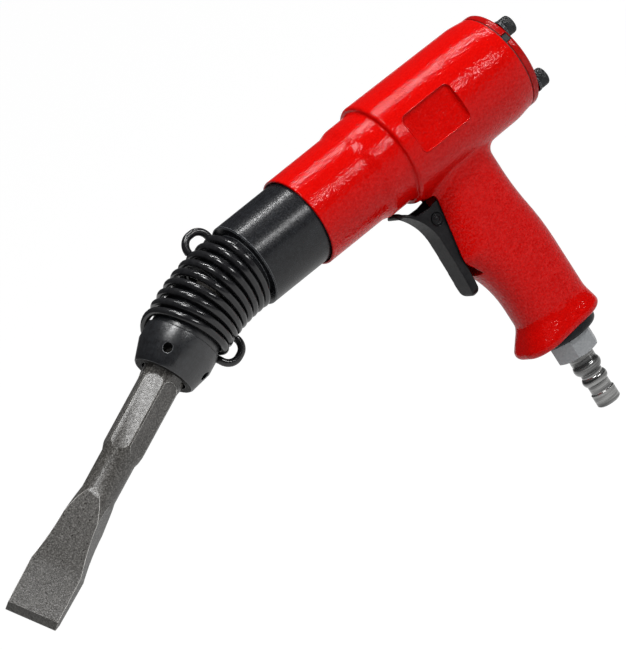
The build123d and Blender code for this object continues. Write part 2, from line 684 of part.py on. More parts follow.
def make_chisel():
    """The forged chisel, from its tail in the spring to its cutting edge."""
    flange_s = nose_shoulder_s - BODY_GAP
    shank_s = nose_front_s + SHANK_REACH
    bar = turned([
        (-TAIL_REACH, 0), (-TAIL_REACH, TAIL_RADIUS - TAIL_CHAMFER),
        (TAIL_CHAMFER - TAIL_REACH, TAIL_RADIUS), (flange_s - FLANGE_LENGTH, TAIL_RADIUS),
        (flange_s - FLANGE_LENGTH, FLANGE_RADIUS), (flange_s, FLANGE_RADIUS), (flange_s, SHANK_RADIUS),
        (shank_s, SHANK_RADIUS), (shank_s + SHANK_TAPER, CHISEL_NECK_RADIUS),
        (nose_front_s + FACE_START, CHISEL_NECK_RADIUS), (nose_front_s + FACE_START, 0),
    ])
    chisel = bar - shank_flats() + blade_solid()
    return drooped(Rot(CHISEL_ROLL, 0, 0) * chisel)


def arc_pair(start, start_way, end, end_way):
    """Two arcs that join two points with a given direction at each."""
    chord = end - start
    ways = start_way + end_way
    lean = 2 * (1 - start_way.dot(end_way))
    along = chord.dot(ways)
    if lean < 1e-9:
        reach = chord.dot(chord) / (4 * chord.dot(end_way))
    else:
        reach = (math.sqrt(along * along + lean * chord.dot(chord)) - along) / lean
    joint = (start + end + (start_way - end_way) * reach) * 0.5
    first = Edge.make_tangent_arc(start, start_way, joint)
    return [first, Edge.make_tangent_arc(joint, first % 1, end)]


def bent_place(along, radius, angle):
    """A place round the spring's axis: straight, then bent down, then straight."""
    bend = min(max(along - CLOSED_LENGTH, 0), bent_length) / bend_radius
    rest = max(along - CLOSED_LENGTH - bent_length, 0)
    x = coil_start_x + min(along, CLOSED_LENGTH) + bend_radius * math.sin(bend) + rest * math.cos(bend)
    z = -bend_radius * (1 - math.cos(bend)) - rest * math.sin(bend)
    y, rise = around(radius, angle)
    return Vector(x + rise * math.sin(bend), y, z + rise * math.cos(bend))


def coil_place(turn):
    """A place on the spring's turns, close wound at both ends, with a bow round the nose at the last."""
    open_pitch = bent_length / (coil_turns - 2 * CLOSED_TURNS)
    closed_pitch = CLOSED_LENGTH / CLOSED_TURNS
    along = min(turn, CLOSED_TURNS) * closed_pitch
    along += min(max(turn - CLOSED_TURNS, 0), coil_turns - 2 * CLOSED_TURNS) * open_pitch
    along += max(turn - coil_turns + CLOSED_TURNS, 0) * closed_pitch
    bow = math.sin(math.pi * min(max((turn - coil_turns) / BOW_TURNS + 1, 0), 1)) ** 2
    return bent_place(along + BOW_REACH * bow, COIL_RADIUS + BOW_LIFT * bow * (2 - bow),
                      REAR_LOOP_ANGLE + 360 * turn)


def coil_way(turn):
    """The wire's direction on the spring's turns."""
    step = 0.01
    return (coil_place(turn + step) - coil_place(turn - step)).normalized()


def finger_loop(foot, way, out, along):
    """Edges of a finger loop, leaning from the coil and curled back over the turns."""
    bend = math.radians(90 - LOOP_LEAN)
    up = way * math.cos(bend) + out * math.sin(bend)
    rise = foot + way * (LOOP_BEND * math.sin(bend)) + out * (LOOP_BEND * (1 - math.cos(bend)))
    start = rise + up * LOOP_LEG
    top = start + (up + along) * LOOP_RADIUS
    far_top = top + along * LOOP_BACK
    end = far_top + (along - up) * LOOP_RADIUS
    edges = arc_pair(foot, way, rise, up)
    edges.append(Edge.make_line(rise, start))
    edges.append(Edge.make_tangent_arc(start, up, top))
    edges.append(Edge.make_line(top, far_top))
    edges.append(Edge.make_tangent_arc(far_top, along, end))
    return edges


def wire_solid(edges, radius):
    """A round wire swept along joined edges."""
    path = Wire(edges)
    section = Plane(origin=path @ 0, z_dir=path % 0) * Circle(radius)
    return sweep(section, path=path)


def least_gap(edges, wire, skip):
    """The least room between turns of a wire, on points along its edges."""
    points = []
    travelled = 0.0
    for edge in edges:
        steps = max(2, round(edge.length / (wire / 2)))
        for step in range(steps):
            points.append((travelled + edge.length * step / steps, edge @ (step / steps)))
        travelled += edge.length
    gaps = [
        (one - other).length - wire
        for place, (far, one) in enumerate(points)
        for near, other in points[:place]
        if far - near > skip
    ]
    return min(gaps)


def make_retaining_spring():
    """The coil spring that carries the nose, with a finger loop at each end."""
    even_turns = coil_turns - BOW_TURNS
    count = round(4 * even_turns)
    stops = [even_turns * place / count for place in range(count)]
    stops += [even_turns + BOW_TURNS * place / BOW_STOPS for place in range(BOW_STOPS + 1)]
    edges = []
    for start, end in zip(stops[:-1], stops[1:]):
        edges += arc_pair(coil_place(start), coil_way(start), coil_place(end), coil_way(end))
    forward = Vector(1, 0, 0)
    out = Vector(0, *around(1, REAR_LOOP_ANGLE))
    rear_loop = finger_loop(coil_place(0), coil_way(0) * -1, out, forward)
    bend = math.radians(DROOP)
    y, rise = around(1, FRONT_LOOP_ANGLE)
    out = Vector(rise * math.sin(bend), y, rise * math.cos(bend))
    backward = Vector(-math.cos(bend), 0, math.sin(bend))
    front_loop = finger_loop(coil_place(coil_turns), coil_way(coil_turns), out, backward)
    edges = [edge.reversed() for edge in reversed(rear_loop)] + edges + front_loop
    print("retaining_spring least gap", round(least_gap(edges, WIRE, 3 * WIRE), 2))
    return wire_solid(edges, WIRE / 2)


def front_line(shift):
    """The trigger's curved front as two arcs, moved back by a distance."""
    tongue_z = -COLLAR_RADIUS - TONGUE_GAP
    waist = (trigger_x + TRIGGER_WAIST - shift, throttle_z + WAIST_RISE)
    tongue = (trigger_x + TONGUE_REACH - shift, tongue_z)
    tip = (trigger_x + TRIGGER_TIP_AHEAD - shift, trigger_z - TRIGGER_TIP_DROP)
    upper = TangentArc(waist, tongue, tangent=(0, 1))
    lower = TangentArc(waist, tip, tangent=(0, -1))
    return upper, lower, tongue, tip


def make_trigger():
    """The trigger: a bowed front plate with a tongue and two cheeks."""
    upper, lower, tongue, tip = front_line(0)
    inner_upper, inner_lower, inner_tongue, inner_tip = front_line(TRIGGER_PLATE)
    cheek_top = trigger_z + CHEEK_RISE
    cheek_end = trigger_z - CHEEK_END_DROP
    rear = trigger_x - CHEEK_REAR
    behind = make_face([upper, lower, Polyline(tip, (rear, tip[1]), (rear, tongue[1]), tongue)])
    plate = make_face([upper, lower, Line(tip, inner_tip), inner_lower, inner_upper,
                       Line(inner_tongue, tongue)])
    walls = side_plate([
        (rear, cheek_top), (trigger_x, cheek_top - CASTING_ROUND), (tongue[0], cheek_top),
        (tongue[0], cheek_end), (inner_tip[0], cheek_end), (trigger_x - CHEEK_REAR / 3, throttle_z),
        (rear, trigger_z - CHEEK_RISE / 2),
    ], TRIGGER_WIDTH)
    walls &= extrude(Plane.XZ * behind, TRIGGER_WIDTH, both=True)
    inside = Pos(trigger_x, 0, tip[1] + TIP_SOLID) * Box(
        2 * TRIGGER_TIP_DROP, TRIGGER_WIDTH - 2 * TRIGGER_WALL, 2 * TRIGGER_TIP_DROP,
        align=(Align.CENTER, Align.CENTER, Align.MIN))
    waist = lower @ 0
    back_tip = (tip[0] - TRIGGER_DEPTH, tip[1])
    round_end = ThreePointArc(tip, (tip[0] - TRIGGER_DEPTH / 2, tip[1] - TRIGGER_DEPTH / 2), back_tip)
    back = TangentArc((waist.X - TRIGGER_DEPTH, waist.Y), back_tip, tangent=(0, -1))
    rails = make_face([lower, round_end, back, Line((waist.X - TRIGGER_DEPTH, waist.Y), (waist.X, waist.Y))])
    walls += extrude(Plane.XZ * rails, TRIGGER_WIDTH / 2, both=True)
    front = extrude(Plane.XZ * plate, TRIGGER_WIDTH / 2, both=True)
    front += rod_y(TRIGGER_WIDTH, TONGUE_BEAD, tongue[0] - TONGUE_BEAD / 2, tongue[1])
    low_z = tip[1] - TRIGGER_DEPTH / 2
    high_z = tongue[1] + TONGUE_BEAD
    pad = RectangleRounded(TRIGGER_WIDTH, high_z - low_z, TRIGGER_CORNER)
    pad = Pos(trigger_x, 0, (high_z + low_z) / 2) * extrude(Plane.YZ * pad, 2 * TONGUE_REACH, both=True)
    trigger = (front + (walls - inside)) & pad
    trigger -= rod_y(2 * TRIGGER_WIDTH, PIN_RADIUS + RUNNING_FIT, trigger_x, trigger_z)
    pocket = rod_y(2 * TRIGGER_WIDTH, PIN_POCKET_RADIUS, trigger_x, trigger_z)
    pocket -= rod_y(TRIGGER_WIDTH - 2 * PIN_POCKET_DEPTH, PIN_POCKET_RADIUS, trigger_x, trigger_z)
    return trigger - pocket


def make_trigger_pin():
    """The pin that the trigger turns on, held in the lug."""
    return rod_y(TRIGGER_WIDTH - PIN_POCKET_DEPTH, PIN_RADIUS, trigger_x, trigger_z)


def make_throttle_bush():
    """The bush in the grip that guides the throttle stem and holds its seat."""
    guide_x = slot_x - THROTTLE_GUIDE
    bush = rod_x(throttle_seat_x, slot_x, CHAMBER_RADIUS, z=throttle_z)
    bush -= rod_x(throttle_seat_x, guide_x, THROTTLE_PORT_RADIUS, z=throttle_z)
    bush -= rod_x(guide_x, slot_x, THROTTLE_STEM_RADIUS + RUNNING_FIT, z=throttle_z)
    return bush - rod_z(throttle_z, throttle_z + CHAMBER_RADIUS, PASSAGE_RADIUS, passage_x)


def make_throttle_stem():
    """The throttle stem, rounded where the trigger meets it, with its poppet."""
    end_x = trigger_x + TRIGGER_WAIST - TRIGGER_PLATE - BODY_GAP
    poppet_x = throttle_seat_x - SEAL_GAP - SEAL_THICKNESS
    stem = rod_x(poppet_x, end_x, THROTTLE_STEM_RADIUS)
    stem = fillet(rims(stem, end_x, THROTTLE_STEM_RADIUS), THROTTLE_STEM_RADIUS / 2)
    stem += rod_x(poppet_x - POPPET_THICKNESS, poppet_x, POPPET_RADIUS)
    return Pos(0, 0, throttle_z) * stem


def make_poppet_seal():
    """The rubber ring on the poppet that closes the seat."""
    back = throttle_seat_x - SEAL_GAP - SEAL_THICKNESS
    ring = rod_x(back, back + SEAL_THICKNESS, POPPET_RADIUS, z=throttle_z)
    return ring - rod_x(back, back + SEAL_THICKNESS, THROTTLE_STEM_RADIUS + FIXED_FIT, z=throttle_z)


def make_throttle_spring():
    """The coil spring that closes the throttle, between its chamber and poppet."""
    rear_x = chamber_x + THROTTLE_WIRE / 2 + SEAL_GAP
    poppet_x = throttle_seat_x - SEAL_GAP - SEAL_THICKNESS - POPPET_THICKNESS
    front_x = poppet_x - THROTTLE_WIRE / 2 - SEAL_GAP
    pitch = (front_x - rear_x) / THROTTLE_TURNS
    slope = pitch / (2 * math.pi * THROTTLE_COIL_RADIUS)

    def place(turn):
        y, z = around(THROTTLE_COIL_RADIUS, 360 * turn)
        return Vector(rear_x + pitch * turn, y, throttle_z + z)

    def way(turn):
        y, z = around(1, 360 * turn + 90)
        return Vector(slope, y, z).normalized()

    edges = []
    for quarter in range(4 * THROTTLE_TURNS):
        start = quarter / 4
        edges += arc_pair(place(start), way(start), place(start + 0.25), way(start + 0.25))
    print("throttle_spring least gap", round(least_gap(edges, THROTTLE_WIRE, 3 * THROTTLE_WIRE), 2))
    return wire_solid(edges, THROTTLE_WIRE / 2)


def make_inlet_bush():
    """The threaded bush in the end of the grip, with its round flange."""
    bush = rod_z(flange_z, seat_z, INLET_FLANGE_RADIUS, grip_x)
    bush = fillet(bush.edges().group_by(Axis.Z)[0], FLANGE_ROUND)
    bush += rod_z(seat_z, bottom_z + INLET_BUSH_LENGTH, INLET_BUSH_RADIUS, grip_x)
    bush -= rod_z(flange_z, screen_z + SCREEN_THICKNESS, PLUG_THREAD_RADIUS + FIXED_FIT, grip_x)
    return bush - rod_z(flange_z, bottom_z + INLET_BUSH_LENGTH, INLET_RADIUS, grip_x)


def make_inlet_screen():
    """The drilled strainer disc above the plug."""
    screen = rod_z(screen_z, screen_z + SCREEN_THICKNESS, PLUG_THREAD_RADIUS, grip_x)
    for ring, count in enumerate(SCREEN_HOLE_COUNTS):
        for place in range(count):
            x, y = around(SCREEN_HOLE_PITCH * ring, 360 / count * place)
            screen -= rod_z(screen_z, screen_z + SCREEN_THICKNESS, SCREEN_HOLE_RADIUS, grip_x + x, y)
    return screen


def plug_bead(low_z, length, radius):
    """A bead of the hose plug, rounded from groove to groove."""
    high_z = low_z + length
    outline = make_face([
        ThreePointArc((GROOVE_RADIUS, low_z), (radius, low_z + length / 2), (GROOVE_RADIUS, high_z)),
        Polyline((GROOVE_RADIUS, high_z), (0, high_z), (0, low_z), (GROOVE_RADIUS, low_z)),
    ])
    return Pos(grip_x, 0, 0) * revolve(Plane.XZ * outline, Axis.Z)


def make_air_plug():
    """The hose plug: thread, hexagon, two rounded beads and a plain tip."""
    neck_z = hex_z - PLUG_NECK_LENGTH
    bead_z = neck_z - BEAD_LENGTH
    second_z = bead_z - GROOVE_LENGTH - SECOND_BEAD_LENGTH
    tip_top_z = second_z - PLUG_WAIST_LENGTH
    tip_z = tip_top_z - TIP_LENGTH
    plug = rod_z(flange_z, flange_z + PLUG_THREAD_LENGTH, PLUG_THREAD_RADIUS, grip_x)
    nut = extrude(RegularPolygon(HEX_FLATS / 2, 6, major_radius=False), HEX_HEIGHT)
    corner = HEX_FLATS / math.sqrt(3)
    round_bar = Cylinder(corner, HEX_HEIGHT, align=(Align.CENTER, Align.CENTER, Align.MIN))
    nut &= chamfer(round_bar.edges().filter_by(GeomType.CIRCLE), HEX_CHAMFER, 2 * HEX_CHAMFER)
    plug += Pos(grip_x, 0, hex_z) * nut
    plug += rod_z(neck_z - BEAD_LENGTH / 2, hex_z, PLUG_NECK_RADIUS, grip_x)
    plug += rod_z(tip_z, neck_z, GROOVE_RADIUS, grip_x)
    plug += plug_bead(bead_z, BEAD_LENGTH, BEAD_RADIUS)
    plug += plug_bead(second_z, SECOND_BEAD_LENGTH, SECOND_BEAD_RADIUS)
    tip = rod_z(tip_z, tip_top_z, TIP_RADIUS, grip_x)
    plug += chamfer(tip.edges().filter_by(GeomType.CIRCLE), TIP_CHAMFER)
    return plug - rod_z(tip_z, flange_z + PLUG_THREAD_LENGTH, PLUG_BORE_RADIUS, grip_x)


PIECES = {
    "housing": make_housing,
    "rear_cover": make_rear_cover,
    "rear_gasket": make_rear_gasket,
    "cover_screws": make_cover_screws,
    "spring_washers": make_spring_washers,
    "cylinder": make_cylinder,
    "front_bush": make_front_bush,
    "piston": make_piston,
    "valve_cap": make_valve_cap,
    "valve_seat": make_valve_seat,
    "valve_plate": make_valve_plate,
    "dowel_pin": make_dowel_pin,
    "retaining_spring": make_retaining_spring,
    "nose": make_nose,
    "chisel": make_chisel,
    "trigger": make_trigger,
    "trigger_pin": make_trigger_pin,
    "throttle_bush": make_throttle_bush,
    "throttle_stem": make_throttle_stem,
    "poppet_seal": make_poppet_seal,
    "throttle_spring": make_throttle_spring,
    "inlet_bush": make_inlet_bush,
    "inlet_screen": make_inlet_screen,
    "air_plug": make_air_plug,
}

os.makedirs("parts", exist_ok=True)
for name, make in PIECES.items():
    piece = Pos(-grip_x, 0, -middle_z) * make()
    export_step(piece, "parts/" + name + ".step")
    print(name, round(piece.volume), "mm3")
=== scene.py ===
# %% [markdown]
# A pistol grip pneumatic chisel, dressed in Blender over its CAD solids.
# The frame loads every CAD node in metres: the barrel runs along X with the chisel at +X, +Y is the
# tool's left side and +Z is up. The origin is the middle of the grip.
# The box of the bare CAD model is kept here: the paint bead round the recess keeps within its widest
# point.

# %% Load the frame
import json
import math
import bmesh
import bpy
from mathutils import Matrix, Vector, noise
from mathutils.bvhtree import BVHTree


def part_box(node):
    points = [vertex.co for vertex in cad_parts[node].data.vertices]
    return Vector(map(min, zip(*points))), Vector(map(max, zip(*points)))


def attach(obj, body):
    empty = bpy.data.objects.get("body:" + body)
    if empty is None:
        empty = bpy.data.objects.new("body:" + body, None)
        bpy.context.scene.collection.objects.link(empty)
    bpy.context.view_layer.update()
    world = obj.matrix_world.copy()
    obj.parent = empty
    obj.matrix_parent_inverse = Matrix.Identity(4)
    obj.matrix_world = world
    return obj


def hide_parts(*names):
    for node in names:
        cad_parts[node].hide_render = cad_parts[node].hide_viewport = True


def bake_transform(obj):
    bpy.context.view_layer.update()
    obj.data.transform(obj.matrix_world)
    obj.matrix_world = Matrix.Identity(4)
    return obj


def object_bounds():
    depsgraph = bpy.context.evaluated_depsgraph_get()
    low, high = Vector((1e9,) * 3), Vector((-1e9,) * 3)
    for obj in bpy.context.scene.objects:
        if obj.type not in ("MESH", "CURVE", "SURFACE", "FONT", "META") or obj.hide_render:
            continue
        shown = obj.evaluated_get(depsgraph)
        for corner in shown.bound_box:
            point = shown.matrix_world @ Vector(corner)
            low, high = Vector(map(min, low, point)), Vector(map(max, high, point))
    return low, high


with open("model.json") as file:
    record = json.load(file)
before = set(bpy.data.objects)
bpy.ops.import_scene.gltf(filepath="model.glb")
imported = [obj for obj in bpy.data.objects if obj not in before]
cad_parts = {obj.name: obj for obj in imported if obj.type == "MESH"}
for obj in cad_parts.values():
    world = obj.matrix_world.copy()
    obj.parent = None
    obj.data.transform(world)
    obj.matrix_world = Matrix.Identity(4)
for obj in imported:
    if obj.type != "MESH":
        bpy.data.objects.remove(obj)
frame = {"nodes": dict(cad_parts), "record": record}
cad_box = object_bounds()
MM = 0.001
BARREL_HEIGHT = 80 * MM
HOUSING_REAR = -47.5 * MM

# %% [markdown]
# The camera looks at the tool's left side from above, with the barrel running down across the picture.
# It could stand close by with a short lens, but the photograph shows parallel edges as parallel, so a
# long lens far away is used. The direction back to the camera and a rough direction up give the other
# two.

# %% Camera
VIEW_BACK = Vector((0.3976, 0.8860, 0.2385)).normalized()
ROUGH_UP = Vector((-0.5770, 0.0394, 0.8158))
VIEW_RIGHT = ROUGH_UP.cross(VIEW_BACK).normalized()
VIEW_UP = VIEW_BACK.cross(VIEW_RIGHT)
VIEW_CENTRE = Vector((0.0958, -0.0453, 0.0215))
VIEW_HEIGHT = 0.3297
VIEW_DISTANCE = 6.0
SENSOR = 36.0
camera_data = bpy.data.cameras.new("studio_camera")
camera_data.sensor_width = SENSOR
camera_data.lens = SENSOR * VIEW_DISTANCE / VIEW_HEIGHT
camera_data.clip_end = 10 * VIEW_DISTANCE
camera = bpy.data.objects.new("studio_camera", camera_data)
bpy.context.scene.collection.objects.link(camera)
view_turn = Matrix((VIEW_RIGHT, VIEW_UP, VIEW_BACK)).transposed().to_4x4()
camera.matrix_world = Matrix.Translation(VIEW_CENTRE + VIEW_BACK * VIEW_DISTANCE) @ view_turn
bpy.context.scene.camera = camera
bpy.context.scene.view_settings.view_transform = "Standard"
print("camera lens", round(camera_data.lens), "mm")

# %% [markdown]
# A finish is a Blender material with one principled shader. It could be put together by hand in the
# shader editor, but the same few steps come back in every finish here, so small helpers keep each recipe
# short. The first two make a material and give it to a whole piece.

# %% Make a finish
PLAIN_ROUGHNESS = 0.5


def new_finish(name, metallic=0.0, roughness=PLAIN_ROUGHNESS):
    """A material with one principled shader, and its node tree."""
    material = bpy.data.materials.new(name)
    material.use_nodes = True
    tree = material.node_tree
    shader = tree.nodes["Principled BSDF"]
    shader.inputs["Metallic"].default_value = metallic
    shader.inputs["Roughness"].default_value = roughness
    return material, tree, shader


def set_finish(piece, material):
    """Gives a whole piece one material."""
    piece.data.materials.clear()
    piece.data.materials.append(material)


print("a finish starts with roughness", PLAIN_ROUGHNESS)

# %% [markdown]
# No real surface has one flat colour. Noise in the tool's own coordinates stands for its grain, and is
# drawn out along an axis where a machine has left marks. A painted picture could do this too, but noise
# has no seams and can be as fine as needed. The same grain can drive the colour, the gloss or the relief.
# Most of the noise lies between a low and a high value, so recipes spread their range between the two.

# %% Grain for colour, gloss and relief
GRAIN_LOW = 0.3
GRAIN_HIGH = 0.7


def grain(tree, size, detail=2.0, stretch=(1, 1, 1)):
    """Noise whose grains are about a size in metres, drawn out along the axes."""
    place = tree.nodes.new("ShaderNodeTexCoord")
    mapping = tree.nodes.new("ShaderNodeMapping")
    mapping.inputs["Scale"].default_value = [1 / share for share in stretch]
    speckle = tree.nodes.new("ShaderNodeTexNoise")
    speckle.inputs["Scale"].default_value = 1 / size
    speckle.inputs["Detail"].default_value = detail
    tree.links.new(place.outputs["Object"], mapping.inputs["Vector"])
    tree.links.new(mapping.outputs["Vector"], speckle.inputs["Vector"])
    return speckle.outputs["Fac"]


def tint(tree, shader, source, stops):
    """Base colour from a grain: stops are (place, colour) pairs."""
    ramp = tree.nodes.new("ShaderNodeValToRGB")
    marks = ramp.color_ramp.elements
    while len(marks) < len(stops):
        marks.new(0.5)
    for mark, (place, colour) in zip(marks, stops):
        mark.position = place
        mark.color = (*colour, 1)
    tree.links.new(source, ramp.inputs["Fac"])
    tree.links.new(ramp.outputs["Color"], shader.inputs["Base Color"])


def two_tone(tree, shader, source, dark, light):
    """Base colour that follows a grain from a dark tone to a light one."""
    tint(tree, shader, source, [(GRAIN_LOW, dark), (GRAIN_HIGH, light)])


def remap(tree, source, from_low, from_high, to_low, to_high):
    """A value carried over from one range to another."""
    spread = tree.nodes.new("ShaderNodeMapRange")
    spread.inputs["From Min"].default_value = from_low
    spread.inputs["From Max"].default_value = from_high
    spread.inputs["To Min"].default_value = to_low
    spread.inputs["To Max"].default_value = to_high
    tree.links.new(source, spread.inputs["Value"])
    return spread.outputs["Result"]


def vary_gloss(tree, shader, source, low, high, socket="Roughness"):
    """Roughness, or another value of the shader, that follows a grain between two values."""
    spread = remap(tree, source, GRAIN_LOW, GRAIN_HIGH, low, high)
    tree.links.new(spread, shader.inputs[socket])


def add_relief(tree, shader, source, depth, strength=1.0):
    """Relief from a grain, laid over any relief that is there already."""
    bump = tree.nodes.new("ShaderNodeBump")
    bump.inputs["Distance"].default_value = depth
    bump.inputs["Strength"].default_value = strength
    tree.links.new(source, bump.inputs["Height"])
    under = shader.inputs["Normal"]
    if under.is_linked:
        tree.links.new(under.links[0].from_socket, bump.inputs["Normal"])
    tree.links.new(bump.outputs["Normal"], under)


print("grain is read between", GRAIN_LOW, "and", GRAIN_HIGH)

# %% [markdown]
# Edges make a tool look made and used: none is perfectly sharp, and handling rubs it bright. Every edge
# could be bevelled in the mesh, but a bevel node rounds the shading alone, on any solid. Where its rounded
# normal differs from the true one there is an edge, and there the colour is lightened: partly as wear,
# partly as a painted highlight along the edge.
# In a white studio every rim would also mirror white and look chalky, where a workshop gives it dark
# surroundings, so the last helper takes shine off the rims.

# %% Edges and rims
BEVEL_SAMPLES = 8
# where the edge lightening, part wear and part painted highlight, starts and where it is full
WEAR_GLINT_STARTS = 0.998
WEAR_GLINT_FULL = 0.96
RIM_STARTS = 0.35
RIM_FULL = 0.85
RIM_SHINE = 0.08


def rounded_normal(tree, radius):
    """The surface's normal, with sharp edges rounded by a radius."""
    soft = tree.nodes.new("ShaderNodeBevel")
    soft.samples = BEVEL_SAMPLES
    soft.inputs["Radius"].default_value = radius
    return soft.outputs["Normal"]


def soften_edges(tree, shader, radius):
    """Shades sharp edges as if they were rounded by a radius."""
    tree.links.new(rounded_normal(tree, radius), shader.inputs["Normal"])


def wear_and_glint_edges(tree, shader, radius, colour):
    """Lightens the base colour along edges, as wear and as a painted edge highlight: there a rounded normal
    differs from the true one.
    """
    surface = tree.nodes.new("ShaderNodeNewGeometry")
    match = tree.nodes.new("ShaderNodeVectorMath")
    match.operation = "DOT_PRODUCT"
    tree.links.new(rounded_normal(tree, radius), match.inputs[0])
    tree.links.new(surface.outputs["Normal"], match.inputs[1])
    edge_wear_glint = remap(tree, match.outputs["Value"], WEAR_GLINT_STARTS, WEAR_GLINT_FULL, 0.0, 1.0)
    # lighter edge colour: part wear, part painted highlight
    rubbed_and_glinting = tree.nodes.new("ShaderNodeMix")
    rubbed_and_glinting.data_type = "RGBA"
    rubbed_and_glinting.inputs["B"].default_value = (*colour, 1)
    tree.links.new(edge_wear_glint, rubbed_and_glinting.inputs["Factor"])
    tree.links.new(shader.inputs["Base Color"].links[0].from_socket, rubbed_and_glinting.inputs["A"])
    tree.links.new(rubbed_and_glinting.outputs["Result"], shader.inputs["Base Color"])


def calm_rim(tree, shader):
    """Takes shine away where the surface slants off, so that rims mirror less of the white studio."""
    slant = tree.nodes.new("ShaderNodeLayerWeight")
    fade = remap(tree, slant.outputs["Facing"], RIM_STARTS, RIM_FULL, 1.0, RIM_SHINE)
    damp = tree.nodes.new("ShaderNodeMath")
    damp.operation = "MULTIPLY"
    tree.links.new(fade, damp.inputs[0])
    level = shader.inputs["Specular IOR Level"]
    damp.inputs[1].default_value = level.default_value
    if level.is_linked:
        tree.links.new(level.links[0].from_socket, damp.inputs[1])
    tree.links.new(damp.outputs["Value"], level)


print("rims keep", RIM_SHINE, "of their shine")

# %% [markdown]
# The tool lies over a floor of pale paper. The paper could be lit until it burns out to white, but that
# would light the tool too. Instead, it shows most of its white to the camera and to reflections by
# itself, and keeps a little plain white that takes the tool's shadow.

# %% Floor
FLOOR_DROP = 0.42
FLOOR_SIZE = 40.0
FLOOR_GLOW = 0.97
SHADOWED_WHITE = 0.13
PAPER_WHITE = 0.8
floor_mesh = bpy.data.meshes.new("studio_floor")
half = FLOOR_SIZE / 2
corners = [(-half, -half, 0), (half, -half, 0), (half, half, 0), (-half, half, 0)]
floor_mesh.from_pydata(corners, [], [(0, 1, 2, 3)])
floor = bpy.data.objects.new("studio_floor", floor_mesh)
floor.location = (0, 0, -FLOOR_DROP)
bpy.context.scene.collection.objects.link(floor)


def larger_of(tree, first, second):
    """The larger of two values."""
    larger = tree.nodes.new("ShaderNodeMath")
    larger.operation = "MAXIMUM"
    tree.links.new(first, larger.inputs[0])
    tree.links.new(second, larger.inputs[1])
    return larger.outputs["Value"]


paper, tree, shader = new_finish("floor_paper", roughness=0.9)
shader.inputs["Base Color"].default_value = (PAPER_WHITE, PAPER_WHITE, PAPER_WHITE, 1)
glow = tree.nodes.new("ShaderNodeEmission")
glow.inputs["Strength"].default_value = FLOOR_GLOW
shadowed = tree.nodes.new("ShaderNodeBsdfDiffuse")
shadowed.inputs["Color"].default_value = (SHADOWED_WHITE, SHADOWED_WHITE, SHADOWED_WHITE, 1)
seen = tree.nodes.new("ShaderNodeAddShader")
tree.links.new(glow.outputs["Emission"], seen.inputs[0])
tree.links.new(shadowed.outputs["BSDF"], seen.inputs[1])
ray = tree.nodes.new("ShaderNodeLightPath")
looked_at = larger_of(tree, ray.outputs["Is Camera Ray"], ray.outputs["Is Glossy Ray"])
looked_at = larger_of(tree, looked_at, ray.outputs["Is Transmission Ray"])
choose = tree.nodes.new("ShaderNodeMixShader")
tree.links.new(looked_at, choose.inputs["Fac"])
tree.links.new(shader.outputs["BSDF"], choose.inputs[1])
tree.links.new(seen.outputs["Shader"], choose.inputs[2])
tree.links.new(choose.outputs["Shader"], tree.nodes["Material Output"].inputs["Surface"])
set_finish(floor, paper)
print("floor", FLOOR_DROP, "m below the grip's middle")

# %% [markdown]
# A long strip lamp above and a panel to the tool's left give the two streaks along the barrel. A panel
# ahead lights the drooping nose and the chisel. One large lamp would be simpler, but it leaves one broad
# smear on the enamel. A wide soft panel near the camera only evens out the shade: it is kept out of
# reflections, so that the enamel shows two streaks and stays deep red between them.

# %% Room and lamps
ROOM_LIGHT = 0.10
LAMP_DISTANCE = 1.4
SOFT_DISTANCE = 2.0
world = bpy.data.worlds.new("studio_room")
world.use_nodes = True
room = world.node_tree.nodes["Background"]
room.inputs["Color"].default_value = (0.97, 0.98, 1.0, 1)
room.inputs["Strength"].default_value = ROOM_LIGHT
bpy.context.scene.world = world


def hang_lamp(name, towards, distance, length, width, watts):
    """A soft lamp at a distance from the tool, facing it, with its length along the barrel."""
    data = bpy.data.lights.new(name, "AREA")
    data.shape = "RECTANGLE"
    data.size = length
    data.size_y = width
    data.energy = watts
    lamp = bpy.data.objects.new(name, data)
    back = Vector(towards).normalized()
    along = (Vector((1, 0, 0)) - back * back.x).normalized()
    facing = Matrix((along, back.cross(along), back)).transposed().to_4x4()
    lamp.matrix_world = Matrix.Translation(VIEW_CENTRE + back * distance) @ facing
    bpy.context.scene.collection.objects.link(lamp)
    print(name, watts, "W")
    return lamp


hang_lamp("strip_above", (-0.398, 0.02, 0.917), LAMP_DISTANCE, length=1.2, width=0.045, watts=13.5)
hang_lamp("panel_ahead", (0.07, 0.45, 0.89), LAMP_DISTANCE, length=0.5, width=0.24, watts=11)
hang_lamp("panel_left", (-0.398, 0.792, 0.463), LAMP_DISTANCE, length=0.7, width=0.09, watts=7)
soft_panel = hang_lamp("soft_panel", (0.35, 0.72, 0.60), SOFT_DISTANCE, length=1.6, width=1.6, watts=15)
soft_panel.visible_glossy = False

# %% [markdown]
# The casting is sprayed with gloss red enamel. On a rough casting, such paint dries with a fine orange
# peel, which breaks the streaks of light into specks. It could be a plain glossy red, but then the tool
# looks like moulded plastic, so a fine grain gives the peel its relief, its colour and its shine, and a
# wider one lets the surface roll. The colour follows the relief: a deeper red in the pits and a brighter
# one on the crests, a painted shade and glint. Paint never keeps a sharp corner either, so edges are
# rounded off in the shading.

# %% Red enamel on the housing and the rear cover
PEEL_SIZE = 1.0 * MM
PEEL_DEPTH = 0.07 * MM
ROLL_SIZE = 1.6 * MM
ROLL_DEPTH = 0.25 * MM
PAINT_ROUND = 0.7 * MM


